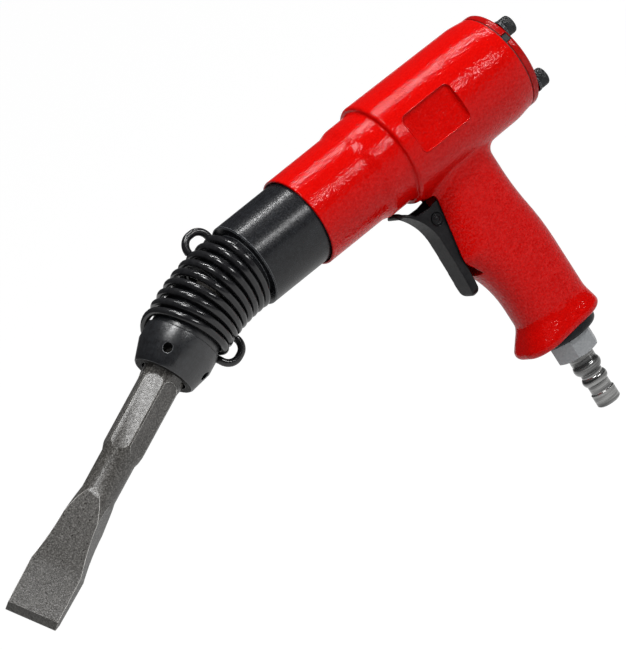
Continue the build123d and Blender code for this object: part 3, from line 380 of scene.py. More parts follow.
def red_enamel(name, deep, bright):
    """Gloss enamel between a deep and a bright red: deep in the pits of its fine grain and bright on the
    crests, a painted shade and glint.
    """
    material, tree, shader = new_finish(name)
    soften_edges(tree, shader, PAINT_ROUND)
    peel_and_pit_shade = grain(tree, PEEL_SIZE)
    # painted shade in the pits of the paint's grain and painted glint on its crests, where the same grain
    # sets the bump height
    tint(tree, shader, peel_and_pit_shade, [(0.34, deep), (0.66, bright)])
    vary_gloss(tree, shader, peel_and_pit_shade, 0.05, 0.20, "Specular IOR Level")
    calm_rim(tree, shader)
    vary_gloss(tree, shader, grain(tree, 3 * MM), 0.10, 0.17)
    add_relief(tree, shader, grain(tree, ROLL_SIZE, 1.0), ROLL_DEPTH)
    add_relief(tree, shader, peel_and_pit_shade, PEEL_DEPTH)
    return material


housing_red = red_enamel("housing_enamel", (0.42, 0.001, 0.0006), (0.50, 0.002, 0.0008))
cover_red = red_enamel("cover_enamel", (0.26, 0.002, 0.002), (0.32, 0.003, 0.002))
set_finish(frame["nodes"]["housing"], housing_red)
set_finish(frame["nodes"]["rear_cover"], cover_red)
print("painted the housing and its cover")

# %% [markdown]
# The tube, the nose, the screws and the inlet bush are turned from steel and blackened in hot oxide. The
# finish is nearly black, with a soft, slightly blue sheen and faint rings from the lathe. A plain black
# would look like rubber, so grain drawn out across the axis gives the rings: along the axis they are
# thin, across it they run on. The bush stands upright, so its rings are thin along Z.

# %% Blackened steel
OXIDE_DARK = (0.004, 0.004, 0.005)
OXIDE_LIGHT = (0.011, 0.012, 0.014)
RINGS_ON_BARREL = (1, 24, 24)
RINGS_ON_BUSH = (24, 24, 1)


def black_oxide(name, stretch, edge_wear_glint=0.13, sheen=0.24, rough=0.20):
    """Blackened turned steel, with lathe marks drawn out along the axes and edges lightened to a grey,
    partly as wear and partly as a painted highlight.
    """
    material, tree, shader = new_finish(name)
    shader.inputs["Specular IOR Level"].default_value = sheen
    calm_rim(tree, shader)
    soften_edges(tree, shader, 0.3 * MM)
    two_tone(tree, shader, grain(tree, 2.2 * MM, 4.0), OXIDE_DARK, OXIDE_LIGHT)
    # edges lightened to a grey: part wear, part painted edge highlight
    wear_and_glint_edges(tree, shader, 0.45 * MM, (edge_wear_glint, edge_wear_glint * 1.04, edge_wear_glint * 1.1))
    vary_gloss(tree, shader, grain(tree, 0.9 * MM, 3.0), rough, rough + 0.12)
    add_relief(tree, shader, grain(tree, 0.5 * MM, 2.0, stretch), 0.02 * MM, 0.5)
    add_relief(tree, shader, grain(tree, 0.45 * MM), 0.03 * MM, 0.6)
    return material


barrel_black = black_oxide("barrel_black", RINGS_ON_BARREL, sheen=0.3)
nose_black = black_oxide("nose_black", RINGS_ON_BARREL, sheen=0.65, rough=0.26)
bush_black = black_oxide("bush_black", RINGS_ON_BUSH, sheen=0.12)
blackened = {"spring_washers": barrel_black, "cylinder": barrel_black, "inlet_bush": bush_black}
for node, finish in blackened.items():
    set_finish(frame["nodes"][node], finish)
    print(node, "in", finish.name)

# %% [markdown]
# The retaining spring is one length of black wire: close turns that grip the tube, open turns that bend
# down, close turns round the nose, and a finger loop at each end. The CAD solid gives its place. Here the
# wire is drawn again as a fine tube along the same helix, because its gloss shows every flat. It could be
# a curve with a bevel, but it is drawn as a mesh.

# %% Turns of the retaining spring
COIL_START = HOUSING_REAR + 180.15 * MM
COIL_RADIUS = 20.75 * MM
WIRE_RADIUS = 2.05 * MM
CLOSED_TURNS = 1.0
CLOSED_LENGTH = 4.25 * MM
DROOP = math.radians(22.5)
BENT_TANGENT = 19.6 * MM
BOW_TURNS = 0.5
BOW_LIFT = 1.5 * MM
BOW_REACH = 8.0 * MM
REAR_LOOP_ANGLE = 130
FRONT_LOOP_ANGLE = 265
COIL_TURNS = 9 + (FRONT_LOOP_ANGLE - REAR_LOOP_ANGLE) / 360
STEPS_A_TURN = 44
bend_radius = BENT_TANGENT / math.tan(DROOP / 2)
bent_length = bend_radius * DROOP


def spring_axis(along):
    """A point of the spring's bent middle line and the tilt there."""
    bend = min(max(along - CLOSED_LENGTH, 0), bent_length) / bend_radius
    rest = max(along - CLOSED_LENGTH - bent_length, 0)
    x = COIL_START + min(along, CLOSED_LENGTH) + bend_radius * math.sin(bend) + rest * math.cos(bend)
    z = BARREL_HEIGHT - bend_radius * (1 - math.cos(bend)) - rest * math.sin(bend)
    return Vector((x, 0, z)), bend


def coil_point(turns):
    """A point of the wire after some turns from the rear; the last half turn bows round the nose."""
    open_turns = COIL_TURNS - 2 * CLOSED_TURNS
    along = min(turns, CLOSED_TURNS) * CLOSED_LENGTH / CLOSED_TURNS
    along += min(max(turns - CLOSED_TURNS, 0), open_turns) * bent_length / open_turns
    along += max(turns - CLOSED_TURNS - open_turns, 0) * CLOSED_LENGTH / CLOSED_TURNS
    bow = math.sin(math.pi * min(max((turns - COIL_TURNS) / BOW_TURNS + 1, 0), 1)) ** 2
    middle, tilt = spring_axis(along + BOW_REACH * bow)
    angle = math.radians(REAR_LOOP_ANGLE) + 2 * math.pi * turns
    radius = COIL_RADIUS + BOW_LIFT * bow * (2 - bow)
    rise = radius * math.sin(angle)
    return middle + Vector((rise * math.sin(tilt), radius * math.cos(angle), rise * math.cos(tilt)))


coil_steps = round(COIL_TURNS * STEPS_A_TURN)
coil = [coil_point(COIL_TURNS * step / coil_steps) for step in range(coil_steps + 1)]
print("spring of", round(COIL_TURNS, 2), "turns and", len(coil), "points")

# %% [markdown]
# Each end of the wire is bent into a loop for a finger. It leaves the coil in a tight bend, goes over the
# turns in two quarter circles with a short straight between them, and ends in a tail. The points could be
# listed one by one, but worked out from a few lengths the loop stays round and is easy to change.

# %% Finger loops
LOOP_LEAN = math.radians(25)
LOOP_BEND = 3.2 * MM
LOOP_LEG = 0.8 * MM
LOOP_RADIUS = 6.2 * MM
LOOP_BACK = 1.6 * MM
LOOP_TAIL = 1.0 * MM
BEND_STEPS = 8
QUARTER_STEPS = 12


def finger_loop(foot, way, out, along):
    """Points of a finger loop: out of the coil, back over the turns and down to its tip."""
    bend = math.pi / 2 - LOOP_LEAN
    up = way * math.cos(bend) + out * math.sin(bend)
    points = []
    for step in range(1, BEND_STEPS + 1):
        angle = bend * step / BEND_STEPS
        points.append(foot + (way * math.sin(angle) + out * (1 - math.cos(angle))) * LOOP_BEND)
    start = points[-1] + up * LOOP_LEG
    quarter = [math.pi / 2 * step / QUARTER_STEPS for step in range(QUARTER_STEPS + 1)]
    for angle in quarter:
        points.append(start + (along * (1 - math.cos(angle)) + up * math.sin(angle)) * LOOP_RADIUS)
    top = points[-1] + along * LOOP_BACK
    for angle in quarter:
        points.append(top + (along * math.sin(angle) - up * (1 - math.cos(angle))) * LOOP_RADIUS)
    points.append(points[-1] - up * LOOP_TAIL)
    return points


rear_angle = math.radians(REAR_LOOP_ANGLE)
rear_out = Vector((0, math.cos(rear_angle), math.sin(rear_angle)))
rear_way = (coil[0] - coil[1]).normalized()
rear_loop = finger_loop(coil[0], rear_way, rear_out, Vector((1, 0, 0)))
front_angle = math.radians(FRONT_LOOP_ANGLE)
front_out = Vector((math.sin(front_angle) * math.sin(DROOP), math.cos(front_angle),
                    math.sin(front_angle) * math.cos(DROOP)))
front_way = (coil[-1] - coil[-2]).normalized()
front_loop = finger_loop(coil[-1], front_way, front_out, Vector((-math.cos(DROOP), 0, math.sin(DROOP))))
wire_line = list(reversed(rear_loop)) + coil + front_loop
print("spring line of", len(wire_line), "points")

# %% [markdown]
# Wire, rivets and screws are all stacks of rings of points. Curves and modifiers could make them too, but
# rings leave every point in reach. One helper joins a stack into faces and another makes the mesh.

# %% Meshes from stacks of rings
def ring_faces(first, rings, sides, flip=False):
    """Faces that join a stack of rings, from its first point on, and close both ends."""
    faces = [tuple(reversed(range(first, first + sides)))]
    for ring in range(rings - 1):
        low = first + ring * sides
        for side in range(sides):
            after = (side + 1) % sides
            faces.append((low + side, low + after, low + sides + after, low + sides + side))
    top = first + (rings - 1) * sides
    faces.append(tuple(range(top, top + sides)))
    if flip:
        faces = [tuple(reversed(face)) for face in faces]
    return faces


def add_piece(name, points, faces):
    """A new mesh object from points and faces, smooth shaded."""
    mesh = bpy.data.meshes.new(name)
    mesh.from_pydata(points, [], faces)
    mesh.validate()
    for face in mesh.polygons:
        face.use_smooth = True
    piece = bpy.data.objects.new(name, mesh)
    bpy.context.scene.collection.objects.link(piece)
    print(name, "of", len(mesh.polygons), "faces")
    return piece


print("two rings of four points make a box of", len(ring_faces(0, 2, 4)), "faces")

# %% [markdown]
# A tube along a line needs a direction across it at every point. A fixed one could be used for all, but it
# would fail where the wire runs along it. So each ring takes the last ring's direction and drops the part
# that points along the wire, which keeps the tube from twisting. Each cut end gets a smaller ring, so it is
# rounded as filed wire is.

# %% Wire along a line, and the retaining spring
WIRE_SIDES = 16
FILED_SHARE = 0.72
FILED_LENGTH = 0.35


def drawn_wire(name, line, radius, sides=WIRE_SIDES):
    """A round wire with filed ends along a line of points."""
    first = (line[0] - line[1]).normalized()
    last = (line[-1] - line[-2]).normalized()
    round_off = FILED_LENGTH * radius
    stations = [(line[0], FILED_SHARE), (line[0] - first * round_off, 1.0)]
    stations += [(point, 1.0) for point in line[1:-1]]
    stations += [(line[-1] - last * round_off, 1.0), (line[-1], FILED_SHARE)]
    points = []
    across = first.orthogonal().normalized()
    for place, (middle, share) in enumerate(stations):
        after = stations[min(place + 1, len(stations) - 1)][0]
        before = stations[max(place - 1, 0)][0]
        way = (after - before).normalized()
        across = (across - way * across.dot(way)).normalized()
        other = way.cross(across)
        for side in range(sides):
            angle = 2 * math.pi * side / sides
            points.append(middle + (across * math.cos(angle) + other * math.sin(angle)) * radius * share)
    return add_piece(name, points, ring_faces(0, len(stations), sides))


wire_black, tree, shader = new_finish("spring_wire_black")
shader.inputs["Specular IOR Level"].default_value = 0.45
calm_rim(tree, shader)
two_tone(tree, shader, grain(tree, 3 * MM, 3.0), (0.005, 0.005, 0.006), (0.012, 0.012, 0.013))
vary_gloss(tree, shader, grain(tree, 1.2 * MM), 0.14, 0.24)
add_relief(tree, shader, grain(tree, 0.6 * MM), 0.012 * MM, 0.5)
retaining_wire = drawn_wire("retaining_wire", wire_line, WIRE_RADIUS)
set_finish(retaining_wire, wire_black)
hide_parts("retaining_spring")
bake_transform(retaining_wire)

# %% [markdown]
# Paint runs back from a sharp edge and gathers beside it, so the blank recess in the housing's side is
# framed by a fine bead. It could be drawn as a line in the paint's colour, but a bead catches light and
# casts shade as the real one does. Its path is the outline of the recess, dropped onto the housing from
# the side and kept within the widest point of the housing.

# %% Paint bead round the recess
RECESS_MIDDLE = HOUSING_REAR + 57.0 * MM
RECESS_LENGTH = 33.3 * MM
RECESS_HEIGHT = 22.3 * MM
RECESS_CORNER = 3.1 * MM
RECESS_ANGLE = math.radians(10)
CORNER_STEPS = 8
BEAD_RADIUS = 0.34 * MM
BEAD_STEP = 0.7 * MM
BEAD_SIDES = 10
WELL_OUTSIDE = 60 * MM
recess_out = Vector((0, math.cos(RECESS_ANGLE), math.sin(RECESS_ANGLE)))
recess_up = Vector((0, -math.sin(RECESS_ANGLE), math.cos(RECESS_ANGLE)))
housing_mesh = frame["nodes"]["housing"].data
housing_skin = BVHTree.FromPolygons([point.co for point in housing_mesh.vertices],
                                    [face.vertices for face in housing_mesh.polygons])


def recess_outline():
    """Points of a rounded rectangle round the middle of the recess, with some along each side."""
    wide = RECESS_LENGTH / 2 - RECESS_CORNER
    high = RECESS_HEIGHT / 2 - RECESS_CORNER
    corners = []
    for quarter, (side, rise) in enumerate(((1, 1), (-1, 1), (-1, -1), (1, -1))):
        for step in range(CORNER_STEPS + 1):
            angle = math.pi / 2 * (quarter + step / CORNER_STEPS)
            x = side * wide + RECESS_CORNER * math.cos(angle)
            up = rise * high + RECESS_CORNER * math.sin(angle)
            corners.append((x, up))
    corners.append(corners[0])
    line = []
    for (x, up), (next_x, next_up) in zip(corners, corners[1:]):
        parts = max(1, round(math.hypot(next_x - x, next_up - up) / BEAD_STEP))
        for part in range(parts):
            share = part / parts
            line.append((x + (next_x - x) * share, up + (next_up - up) * share))
    return line + [line[0]]


bead_line = []
for x, up in recess_outline():
    above = Vector((RECESS_MIDDLE + x, 0, BARREL_HEIGHT)) + recess_up * up + recess_out * WELL_OUTSIDE
    landing, _, _, _ = housing_skin.ray_cast(above, -recess_out)
    landing.y = min(landing.y, cad_box[1].y - BEAD_RADIUS)
    bead_line.append(landing)
paint_bead = drawn_wire("paint_bead", bead_line, BEAD_RADIUS, BEAD_SIDES)
set_finish(paint_bead, housing_red)
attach(paint_bead, "tool")

# %% [markdown]
# Some pieces wear more than one finish. They could be cut up into separate pieces, but a copy of a mesh
# can carry several materials: its triangles are joined into whole faces, and a test of each face's place
# says which ones take the second finish.

# %% Copies with a second finish
WELD = 0.002 * MM
FLAT_WITHIN = math.radians(0.4)


def joined_copy(node, name, sharp=28):
    """A copy of a CAD node with its triangles joined into whole faces."""
    source = frame["nodes"][node]
    mesh = bpy.data.meshes.new(name)
    shape = bmesh.new()
    shape.from_mesh(source.data)
    bmesh.ops.remove_doubles(shape, verts=shape.verts, dist=WELD)
    bmesh.ops.dissolve_limit(shape, angle_limit=FLAT_WITHIN, verts=shape.verts, edges=shape.edges)
    bmesh.ops.recalc_face_normals(shape, faces=shape.faces)
    shape.to_mesh(mesh)
    shape.free()
    piece = bpy.data.objects.new(name, mesh)
    bpy.context.scene.collection.objects.link(piece)
    mesh.shade_smooth()
    mesh.set_sharp_from_angle(angle=math.radians(sharp))
    print(name, "of", len(mesh.polygons), "faces")
    return piece


def second_finish(piece, material, chosen):
    """Gives a second material to the faces that a test chooses."""
    piece.data.materials.append(material)
    count = 0
    for face in piece.data.polygons:
        if chosen(face):
            face.material_index = 1
            count += 1
    print(piece.name, "has", count, "faces in", material.name)


print("faces within", round(math.degrees(FLAT_WITHIN), 2), "degrees of each other are joined")

# %% [markdown]
# The chisel is forged, ground at its edge and used. Its skin is scaly brown grey steel, and its edges are
# lightened, partly as wear and partly as a painted highlight. A plain grey metal would look new and
# machined, so the scale marks drive colour and relief, over broader dents from the hammer. The ground bevel
# at the edge is darker and finer, with long marks from the grinding wheel.

# %% Chisel with a ground edge
GROUND_LENGTH = 3.7 * MM
GROUND_MARKS = (1, 1, 12)
forged, tree, shader = new_finish("forged_skin")
shader.inputs["Specular IOR Level"].default_value = 0.5
calm_rim(tree, shader)
soften_edges(tree, shader, 0.4 * MM)
scale_marks = grain(tree, 0.8 * MM, 4.0)
tint(tree, shader, scale_marks, [(0.32, (0.019, 0.017, 0.015)), (0.50, (0.050, 0.047, 0.043)),
                                 (0.68, (0.125, 0.120, 0.112))])
# bright edges: part wear, part painted edge highlight
wear_and_glint_edges(tree, shader, 0.5 * MM, (0.50, 0.49, 0.47))
vary_gloss(tree, shader, grain(tree, 1.6 * MM, 3.0), 0.26, 0.38)
add_relief(tree, shader, grain(tree, 3.5 * MM), 0.10 * MM, 0.5)
add_relief(tree, shader, scale_marks, 0.09 * MM, 0.9)
ground_edge, tree, shader = new_finish("ground_edge", metallic=0.4)
grinding = grain(tree, 0.5 * MM, 2.0, GROUND_MARKS)
two_tone(tree, shader, grinding, (0.05, 0.049, 0.047), (0.13, 0.127, 0.12))
vary_gloss(tree, shader, grain(tree, 0.6 * MM), 0.35, 0.5)
add_relief(tree, shader, grain(tree, 0.4 * MM, 2.0, GROUND_MARKS), 0.03 * MM, 0.6)
forged_chisel = joined_copy("chisel", "forged_chisel", sharp=14)
set_finish(forged_chisel, forged)
chisel_way = Vector((math.cos(DROOP), 0, -math.sin(DROOP)))
blade_tip = max(point.co.dot(chisel_way) for point in forged_chisel.data.vertices)


def on_ground_bevel(face):
    """Whether a face lies on the ground bevel at the chisel's edge."""
    return face.center.dot(chisel_way) > blade_tip - GROUND_LENGTH


second_finish(forged_chisel, ground_edge, on_ground_bevel)
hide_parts("chisel")
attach(forged_chisel, "chisel")

# %% [markdown]
# The nose is blackened like the tube. Only its flat end is plain: it knocks against work and collects oil
# and dust, so it is dull. It could stay black, but then the end would shine like the cone beside it.

# %% Nose with a dull end
END_DEPTH = 0.1 * MM
END_SQUARE = 0.99
dull_end, tree, shader = new_finish("nose_end_dull")
shader.inputs["Specular IOR Level"].default_value = 0.06
two_tone(tree, shader, grain(tree, 1.2 * MM, 3.0), (0.010, 0.010, 0.010), (0.028, 0.027, 0.025))
# lighter edges: part wear, part painted edge highlight
wear_and_glint_edges(tree, shader, 0.4 * MM, (0.14, 0.14, 0.14))
vary_gloss(tree, shader, grain(tree, 0.8 * MM), 0.5, 0.7)
add_relief(tree, shader, grain(tree, 0.6 * MM), 0.04 * MM, 0.7)
blackened_nose = joined_copy("nose", "blackened_nose")
set_finish(blackened_nose, nose_black)
nose_end = max(point.co.dot(chisel_way) for point in blackened_nose.data.vertices)


def on_nose_end(face):
    """Whether a face is square to the chisel and lies at the very end of the nose."""
    return face.normal.dot(chisel_way) > END_SQUARE and face.center.dot(chisel_way) > nose_end - END_DEPTH


second_finish(blackened_nose, dull_end, on_nose_end)
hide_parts("nose")
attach(blackened_nose, "nose")

# %% [markdown]
# The trigger is cast and thickly powder coated: satin black, finely pebbled, with round edges. A bevel
# would need clean edges all round, so a copy is built anew on a fine grid and smoothed a little, which
# rounds every edge alike.

# %% Trigger in powder coat
TRIGGER_GRID = 0.3 * MM
SMOOTH_SHARE = 0.5
SMOOTH_ROUNDS = 20
powder_black, tree, shader = new_finish("trigger_powder_black")
shader.inputs["Specular IOR Level"].default_value = 0.10
calm_rim(tree, shader)
two_tone(tree, shader, grain(tree, 5 * MM, 3.0), (0.006, 0.006, 0.007), (0.013, 0.013, 0.014))
vary_gloss(tree, shader, grain(tree, 1.5 * MM), 0.28, 0.40)
add_relief(tree, shader, grain(tree, 0.7 * MM), 0.035 * MM, 0.6)
coated_trigger = joined_copy("trigger", "coated_trigger")
regrid = coated_trigger.modifiers.new("fine_grid", "REMESH")
regrid.mode = "VOXEL"
regrid.voxel_size = TRIGGER_GRID
regrid.use_smooth_shade = True
settle = coated_trigger.modifiers.new("rounded_edges", "SMOOTH")
settle.factor = SMOOTH_SHARE
settle.iterations = SMOOTH_ROUNDS
set_finish(coated_trigger, powder_black)
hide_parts("trigger")
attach(coated_trigger, "trigger")
print("trigger gridded at", regrid.voxel_size, "m")

# %% [markdown]
# The trigger's pin is riveted over at both ends. A rivet head is a shallow dome inside a raised ring. It
# could be half a ball, but the ring is what shows, so it is turned from a profile of radii and heights in
# millimetres. It sits in the round pocket of the trigger's cheek and stays with the tool, since the
# trigger turns about it.

# %% Rivet heads
RIVET_PROFILE = [(3.0, -0.3), (3.0, 0.15), (2.8, 0.35), (2.45, 0.35), (2.2, 0.15), (2.0, 0.1), (1.8, 0.3),
                 (1.4, 0.6), (0.8, 0.82), (0.3, 0.9)]
RIVET_SIDES = 40
pin_low, pin_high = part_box("trigger_pin")
pin_middle = (pin_low + pin_high) / 2


def rivet_points(side):
    """Rings of a rivet head on the left (1) or the right (-1) of the pin."""
    points = []
    for radius, height in RIVET_PROFILE:
        y = side * (pin_high.y + height * MM)
        for step in range(RIVET_SIDES):
            angle = 2 * math.pi * step / RIVET_SIDES
            x = pin_middle.x + radius * MM * math.cos(angle)
            z = pin_middle.z + side * radius * MM * math.sin(angle)
            points.append((x, y, z))
    return points


for side, name in ((1, "left_rivet"), (-1, "right_rivet")):
    rivet = add_piece(name, rivet_points(side), ring_faces(0, len(RIVET_PROFILE), RIVET_SIDES, flip=True))
    set_finish(rivet, powder_black)
    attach(rivet, "tool")

# %% [markdown]
# The hose plug is turned from steel bar and plated. Its hexagon keeps the dull drawn faces of the bar, and
# the rest is bright from the lathe with fine rings, some darker where oil has dried in them. One steel
# for all would do from afar, but the change from dull to bright is what shows the plug was machined. A face
# belongs to the hexagon where it is large, flat and upright between the hexagon's ends.

# %% Hose plug
HEX_TOP = -54.7 * MM
HEX_FOOT = -65.3 * MM
HEX_AREA = 60 * MM * MM
HEX_LEAN = 0.02
RINGS_ON_PLUG = (20, 20, 1)
FINE_RINGS = (24, 24, 1)
turned_bright, tree, shader = new_finish("plug_turned_steel", metallic=0.8)
oil_rings = grain(tree, 1.3 * MM, 2.0, RINGS_ON_PLUG)
tint(tree, shader, oil_rings, [(0.35, (0.06, 0.06, 0.06)), (0.65, (0.30, 0.30, 0.295))])
vary_gloss(tree, shader, grain(tree, 0.5 * MM, 2.0, RINGS_ON_PLUG), 0.16, 0.26)
add_relief(tree, shader, grain(tree, 0.35 * MM, 2.0, FINE_RINGS), 0.012 * MM, 0.5)
drawn_dull, tree, shader = new_finish("plug_drawn_steel", metallic=0.3)
two_tone(tree, shader, grain(tree, 1.2 * MM, 4.0), (0.25, 0.26, 0.27), (0.33, 0.34, 0.35))
vary_gloss(tree, shader, grain(tree, 0.8 * MM, 3.0, (1, 1, 6)), 0.40, 0.52)
add_relief(tree, shader, grain(tree, 0.5 * MM, 3.0, (1, 1, 8)), 0.03 * MM, 0.5)
plated_plug = joined_copy("air_plug", "plated_plug")
set_finish(plated_plug, turned_bright)


def on_hexagon(face):
    """Whether a face is one of the hexagon's flats."""
    upright = abs(face.normal.z) < HEX_LEAN
    return HEX_FOOT < face.center.z < HEX_TOP and upright and face.area > HEX_AREA


second_finish(plated_plug, drawn_dull, on_hexagon)
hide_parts("air_plug")
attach(plated_plug, "tool")

# %% [markdown]
# The rear cover is held by four socket head cap screws. Their heads are knurled so that fingers can start
# them, and the sockets are hexagons. A bump could fake the knurl, but it shows at the head's outline. So
# each screw is a stack of rings: the knurl comes from every other point of a ring standing in a little,
# and the socket from rings that follow a hexagon.

# %% Rings of a cap screw
HEAD_RADIUS = 5.0 * MM
HEAD_HEIGHT = 6.0 * MM
KNURL_DEPTH = 0.22 * MM
SCREW_RADIUS = 3.0 * MM
SCREW_TAPER = 0.6 * MM
SOCKET_FLATS = 5.0 * MM
SOCKET_DEPTH = 3.0 * MM
screws_low, screws_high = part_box("cover_screws")
SCREW_CIRCLE = (screws_high.y - HEAD_RADIUS) * math.sqrt(2)
HEAD_BACK = screws_low.x
SCREW_SEAT = HEAD_BACK + HEAD_HEIGHT
SCREW_TIP = screws_high.x


def hexagon_reach(angle):
    """The distance from the middle of the socket to its wall."""
    off = (angle + math.pi / 6) % (math.pi / 3) - math.pi / 6
    return SOCKET_FLATS / 2 / math.cos(off)


def cap_screw_rings():
    """Place, reach and kind of each ring, from the tip of the thread to the bottom of the socket."""
    shank = [(SCREW_TIP, 0.8 * SCREW_RADIUS), (SCREW_TIP - SCREW_TAPER, SCREW_RADIUS),
             (SCREW_SEAT, SCREW_RADIUS), (SCREW_SEAT, HEAD_RADIUS - 0.3 * MM),
             (SCREW_SEAT - 0.35 * MM, HEAD_RADIUS)]
    knurl = [(SCREW_SEAT - 0.6 * MM, HEAD_RADIUS), (HEAD_BACK + 1.3 * MM, HEAD_RADIUS)]
    crown = [(HEAD_BACK + 1.05 * MM, HEAD_RADIUS - 0.1 * MM),
             (HEAD_BACK + 0.55 * MM, HEAD_RADIUS - 0.12 * MM),
             (HEAD_BACK + 0.12 * MM, HEAD_RADIUS - 0.42 * MM),
             (HEAD_BACK, HEAD_RADIUS - 0.75 * MM)]
    # The reach of the socket's rings is a share of the hexagon
    socket = [(HEAD_BACK, 1.12), (HEAD_BACK + 0.25 * MM, 1.0), (HEAD_BACK + SOCKET_DEPTH, 1.0),
              (HEAD_BACK + SOCKET_DEPTH + 0.3 * MM, 0.5)]
    rings = []
    for kind, stations in (("plain", shank), ("knurled", knurl), ("plain", crown), ("hexagon", socket)):
        rings += [(place, reach, kind) for place, reach in stations]
    return rings


screw_rings = cap_screw_rings()
print("a cap screw has", len(screw_rings), "rings")

# %% [markdown]
# The four screws are one node of the frame, so they are made as one mesh, set out at the corners of a
# square. Four copies of one mesh would do too, but one piece stands for one node more simply. Their
# edges are lightened far less than the barrel's: they see less wear, since only a key touches them, and
# take almost none of the painted edge highlight.

# %% Cap screws
RING_POINTS = 96
SCREW_COUNT = 4


def ring_radius(reach, kind, side, angle):
    """The radius of a ring at one of its points."""
    if kind == "hexagon":
        return reach * hexagon_reach(angle)
    if kind == "knurled" and side % 2:
        return reach - KNURL_DEPTH
    return reach


def make_cap_screws(name):
    """The four cap screws as one piece."""
    points = []
    faces = []
    for corner in range(SCREW_COUNT):
        corner_angle = math.radians(45 + 90 * corner)
        y = SCREW_CIRCLE * math.cos(corner_angle)
        z = BARREL_HEIGHT + SCREW_CIRCLE * math.sin(corner_angle)
        faces += ring_faces(len(points), len(screw_rings), RING_POINTS, flip=True)
        for x, reach, kind in screw_rings:
            for side in range(RING_POINTS):
                angle = 2 * math.pi * side / RING_POINTS
                radius = ring_radius(reach, kind, side, angle)
                points.append((x, y + radius * math.cos(angle), z + radius * math.sin(angle)))
    piece = add_piece(name, points, faces)
    piece.data.set_sharp_from_angle(angle=math.radians(32))
    return piece


cap_screws = make_cap_screws("knurled_cap_screws")
# edges barely lightened: little wear and little painted edge highlight
screw_black = black_oxide("screw_black", (1, 1, 1), edge_wear_glint=0.012)
set_finish(cap_screws, screw_black)
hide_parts("cover_screws")
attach(cap_screws, "tool")

# %% [markdown]
# The exhaust leaves through two slots in the rim of the cover. A block of black sintered metal sits in
# each to quiet it, and its near black also stands in for the shade inside the slot, a painted shade. A
# plain dark box would do from afar, but the block is rough and crumbly, so its faces are cut into small
# squares and each point is pushed in a little by a fixed noise.

# %% Silencer blocks
SLOT_ANGLES = (30, 150)
SLOT_LOW = 22.0 * MM
SLOT_HIGH = 27.0 * MM
SLOT_HALF = 2.15 * MM
SLOT_BACK = HOUSING_REAR - 4.0 * MM
SLOT_FRONT = HOUSING_REAR - 0.7 * MM
BLOCK_CUTS = 9
CRUMBLE = 0.12 * MM
CRUMBS_A_METRE = 1500
sinter_and_slot_shade, tree, shader = new_finish("silencer_sinter_and_slot_shade")
sinter = grain(tree, 0.7 * MM, 4.0)
# near black: the block's own colour and a painted shade for the inside of the slot
tint(tree, shader, sinter, [(0.35, (0.004, 0.004, 0.004)), (0.65, (0.020, 0.019, 0.017))])
vary_gloss(tree, shader, grain(tree, 0.6 * MM), 0.65, 0.85)
add_relief(tree, shader, grain(tree, 0.5 * MM, 3.0), 0.12 * MM, 0.9)


def crumbly_block(angle):
    """The mesh of a rough block in the slot at an angle round the barrel."""
    turn = math.radians(angle)
    out = Vector((0, math.cos(turn), math.sin(turn)))
    across = Vector((0, -math.sin(turn), math.cos(turn)))
    middle = Vector(((SLOT_BACK + SLOT_FRONT) / 2, 0, BARREL_HEIGHT)) + out * (SLOT_LOW + SLOT_HIGH) / 2
    shape = bmesh.new()
    bmesh.ops.create_cube(shape, size=1.0)
    bmesh.ops.subdivide_edges(shape, edges=shape.edges, cuts=BLOCK_CUTS, use_grid_fill=True)
    for point in shape.verts:
        cell = point.co.copy()
        place = middle + Vector((cell.x * (SLOT_FRONT - SLOT_BACK), 0, 0))
        place += out * cell.y * (SLOT_HIGH - SLOT_LOW) + across * cell.z * 2 * SLOT_HALF
        point.co = place - cell.normalized() * CRUMBLE * (1 + noise.noise(place * CRUMBS_A_METRE))
    mesh = bpy.data.meshes.new("silencer_block")
    shape.to_mesh(mesh)
    shape.free()
    mesh.shade_smooth()
    return mesh


for angle in SLOT_ANGLES:
    block = bpy.data.objects.new("silencer_block_%d" % angle, crumbly_block(angle))
    bpy.context.scene.collection.objects.link(block)
    set_finish(block, sinter_and_slot_shade)
    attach(block, "tool")
    print(block.name, "of", len(block.data.polygons), "faces")

# %% [markdown]
# Inside are steel, bronze and rubber pieces, which show through the ports or when the tool is opened. They
# could stay plain, since little of them is seen, but a part that is taken apart should look right too.
# Bright steel is ground with fine rings, bronze is warm and softer, and rubber is matt with a fine bloom.

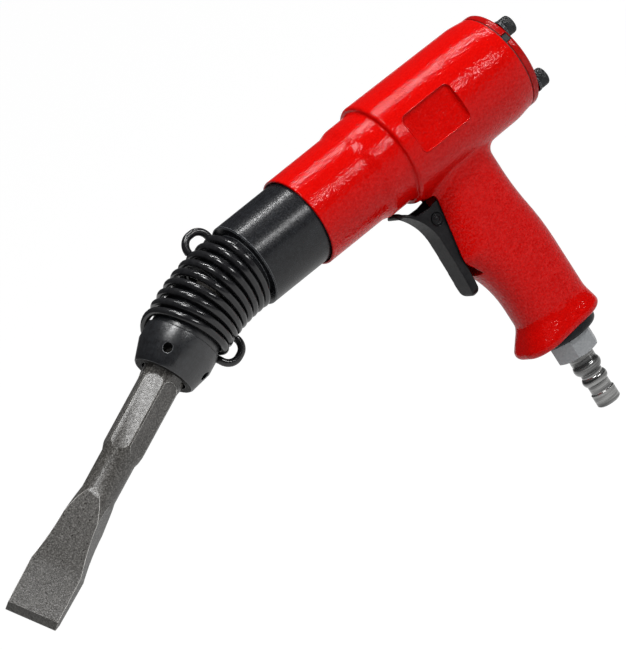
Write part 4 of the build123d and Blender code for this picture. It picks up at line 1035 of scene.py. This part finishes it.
# %% Finishes of the inner pieces
GROUND_RINGS = (1, 20, 20)
BUSH_RINGS = (1, 16, 16)
ground_steel, tree, shader = new_finish("ground_steel", metallic=1.0)
two_tone(tree, shader, grain(tree, 3 * MM, 3.0), (0.48, 0.48, 0.48), (0.60, 0.60, 0.59))
vary_gloss(tree, shader, grain(tree, 0.5 * MM, 2.0, GROUND_RINGS), 0.18, 0.30)
add_relief(tree, shader, grain(tree, 0.4 * MM, 2.0, GROUND_RINGS), 0.012 * MM, 0.5)
bush_bronze, tree, shader = new_finish("bush_bronze", metallic=1.0)
two_tone(tree, shader, grain(tree, 2.5 * MM, 3.0), (0.42, 0.24, 0.08), (0.56, 0.34, 0.13))
vary_gloss(tree, shader, grain(tree, 0.6 * MM, 2.0, BUSH_RINGS), 0.28, 0.42)
add_relief(tree, shader, grain(tree, 0.5 * MM, 2.0, BUSH_RINGS), 0.015 * MM, 0.5)
matt_rubber, tree, shader = new_finish("matt_rubber")
two_tone(tree, shader, grain(tree, 1.5 * MM, 4.0), (0.010, 0.010, 0.010), (0.024, 0.023, 0.022))
vary_gloss(tree, shader, grain(tree, 0.8 * MM), 0.62, 0.78)
add_relief(tree, shader, grain(tree, 0.4 * MM), 0.02 * MM, 0.6)
inner_finishes = {"bright_steel": ground_steel, "bronze": bush_bronze, "seal_rubber": matt_rubber}
for entry in frame["record"]["subparts"]:
    material = inner_finishes.get(entry.get("material_slot"))
    if material:
        set_finish(frame["nodes"][entry["node"]], material)
        print("inner piece", entry["node"], "in", material.name)

# %% [markdown]
# The throttle's little return spring is drawn as wire too, along a plain helix between its chamber and the
# poppet, in place of the CAD solid, which is hidden.

# %% Throttle spring
THROTTLE_WIRE = 0.45 * MM
THROTTLE_TURNS = 3
STEPS_A_SMALL_TURN = 40
THROTTLE_STEPS = STEPS_A_SMALL_TURN * THROTTLE_TURNS
THROTTLE_SIDES = 12
coil_low, coil_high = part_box("throttle_spring")
coil_middle = (coil_low + coil_high) / 2
coil_radius = (coil_high.y - coil_low.y) / 2 - THROTTLE_WIRE
coil_rear = coil_low.x + THROTTLE_WIRE
coil_front = coil_high.x - THROTTLE_WIRE
helix = []
for step in range(THROTTLE_STEPS + 1):
    share = step / THROTTLE_STEPS
    angle = 2 * math.pi * THROTTLE_TURNS * share
    helix.append(Vector((coil_rear + (coil_front - coil_rear) * share, coil_radius * math.cos(angle),
                         coil_middle.z + coil_radius * math.sin(angle))))
throttle_coil = drawn_wire("throttle_coil", helix, THROTTLE_WIRE, THROTTLE_SIDES)
set_finish(throttle_coil, ground_steel)
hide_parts("throttle_spring")
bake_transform(throttle_coil)
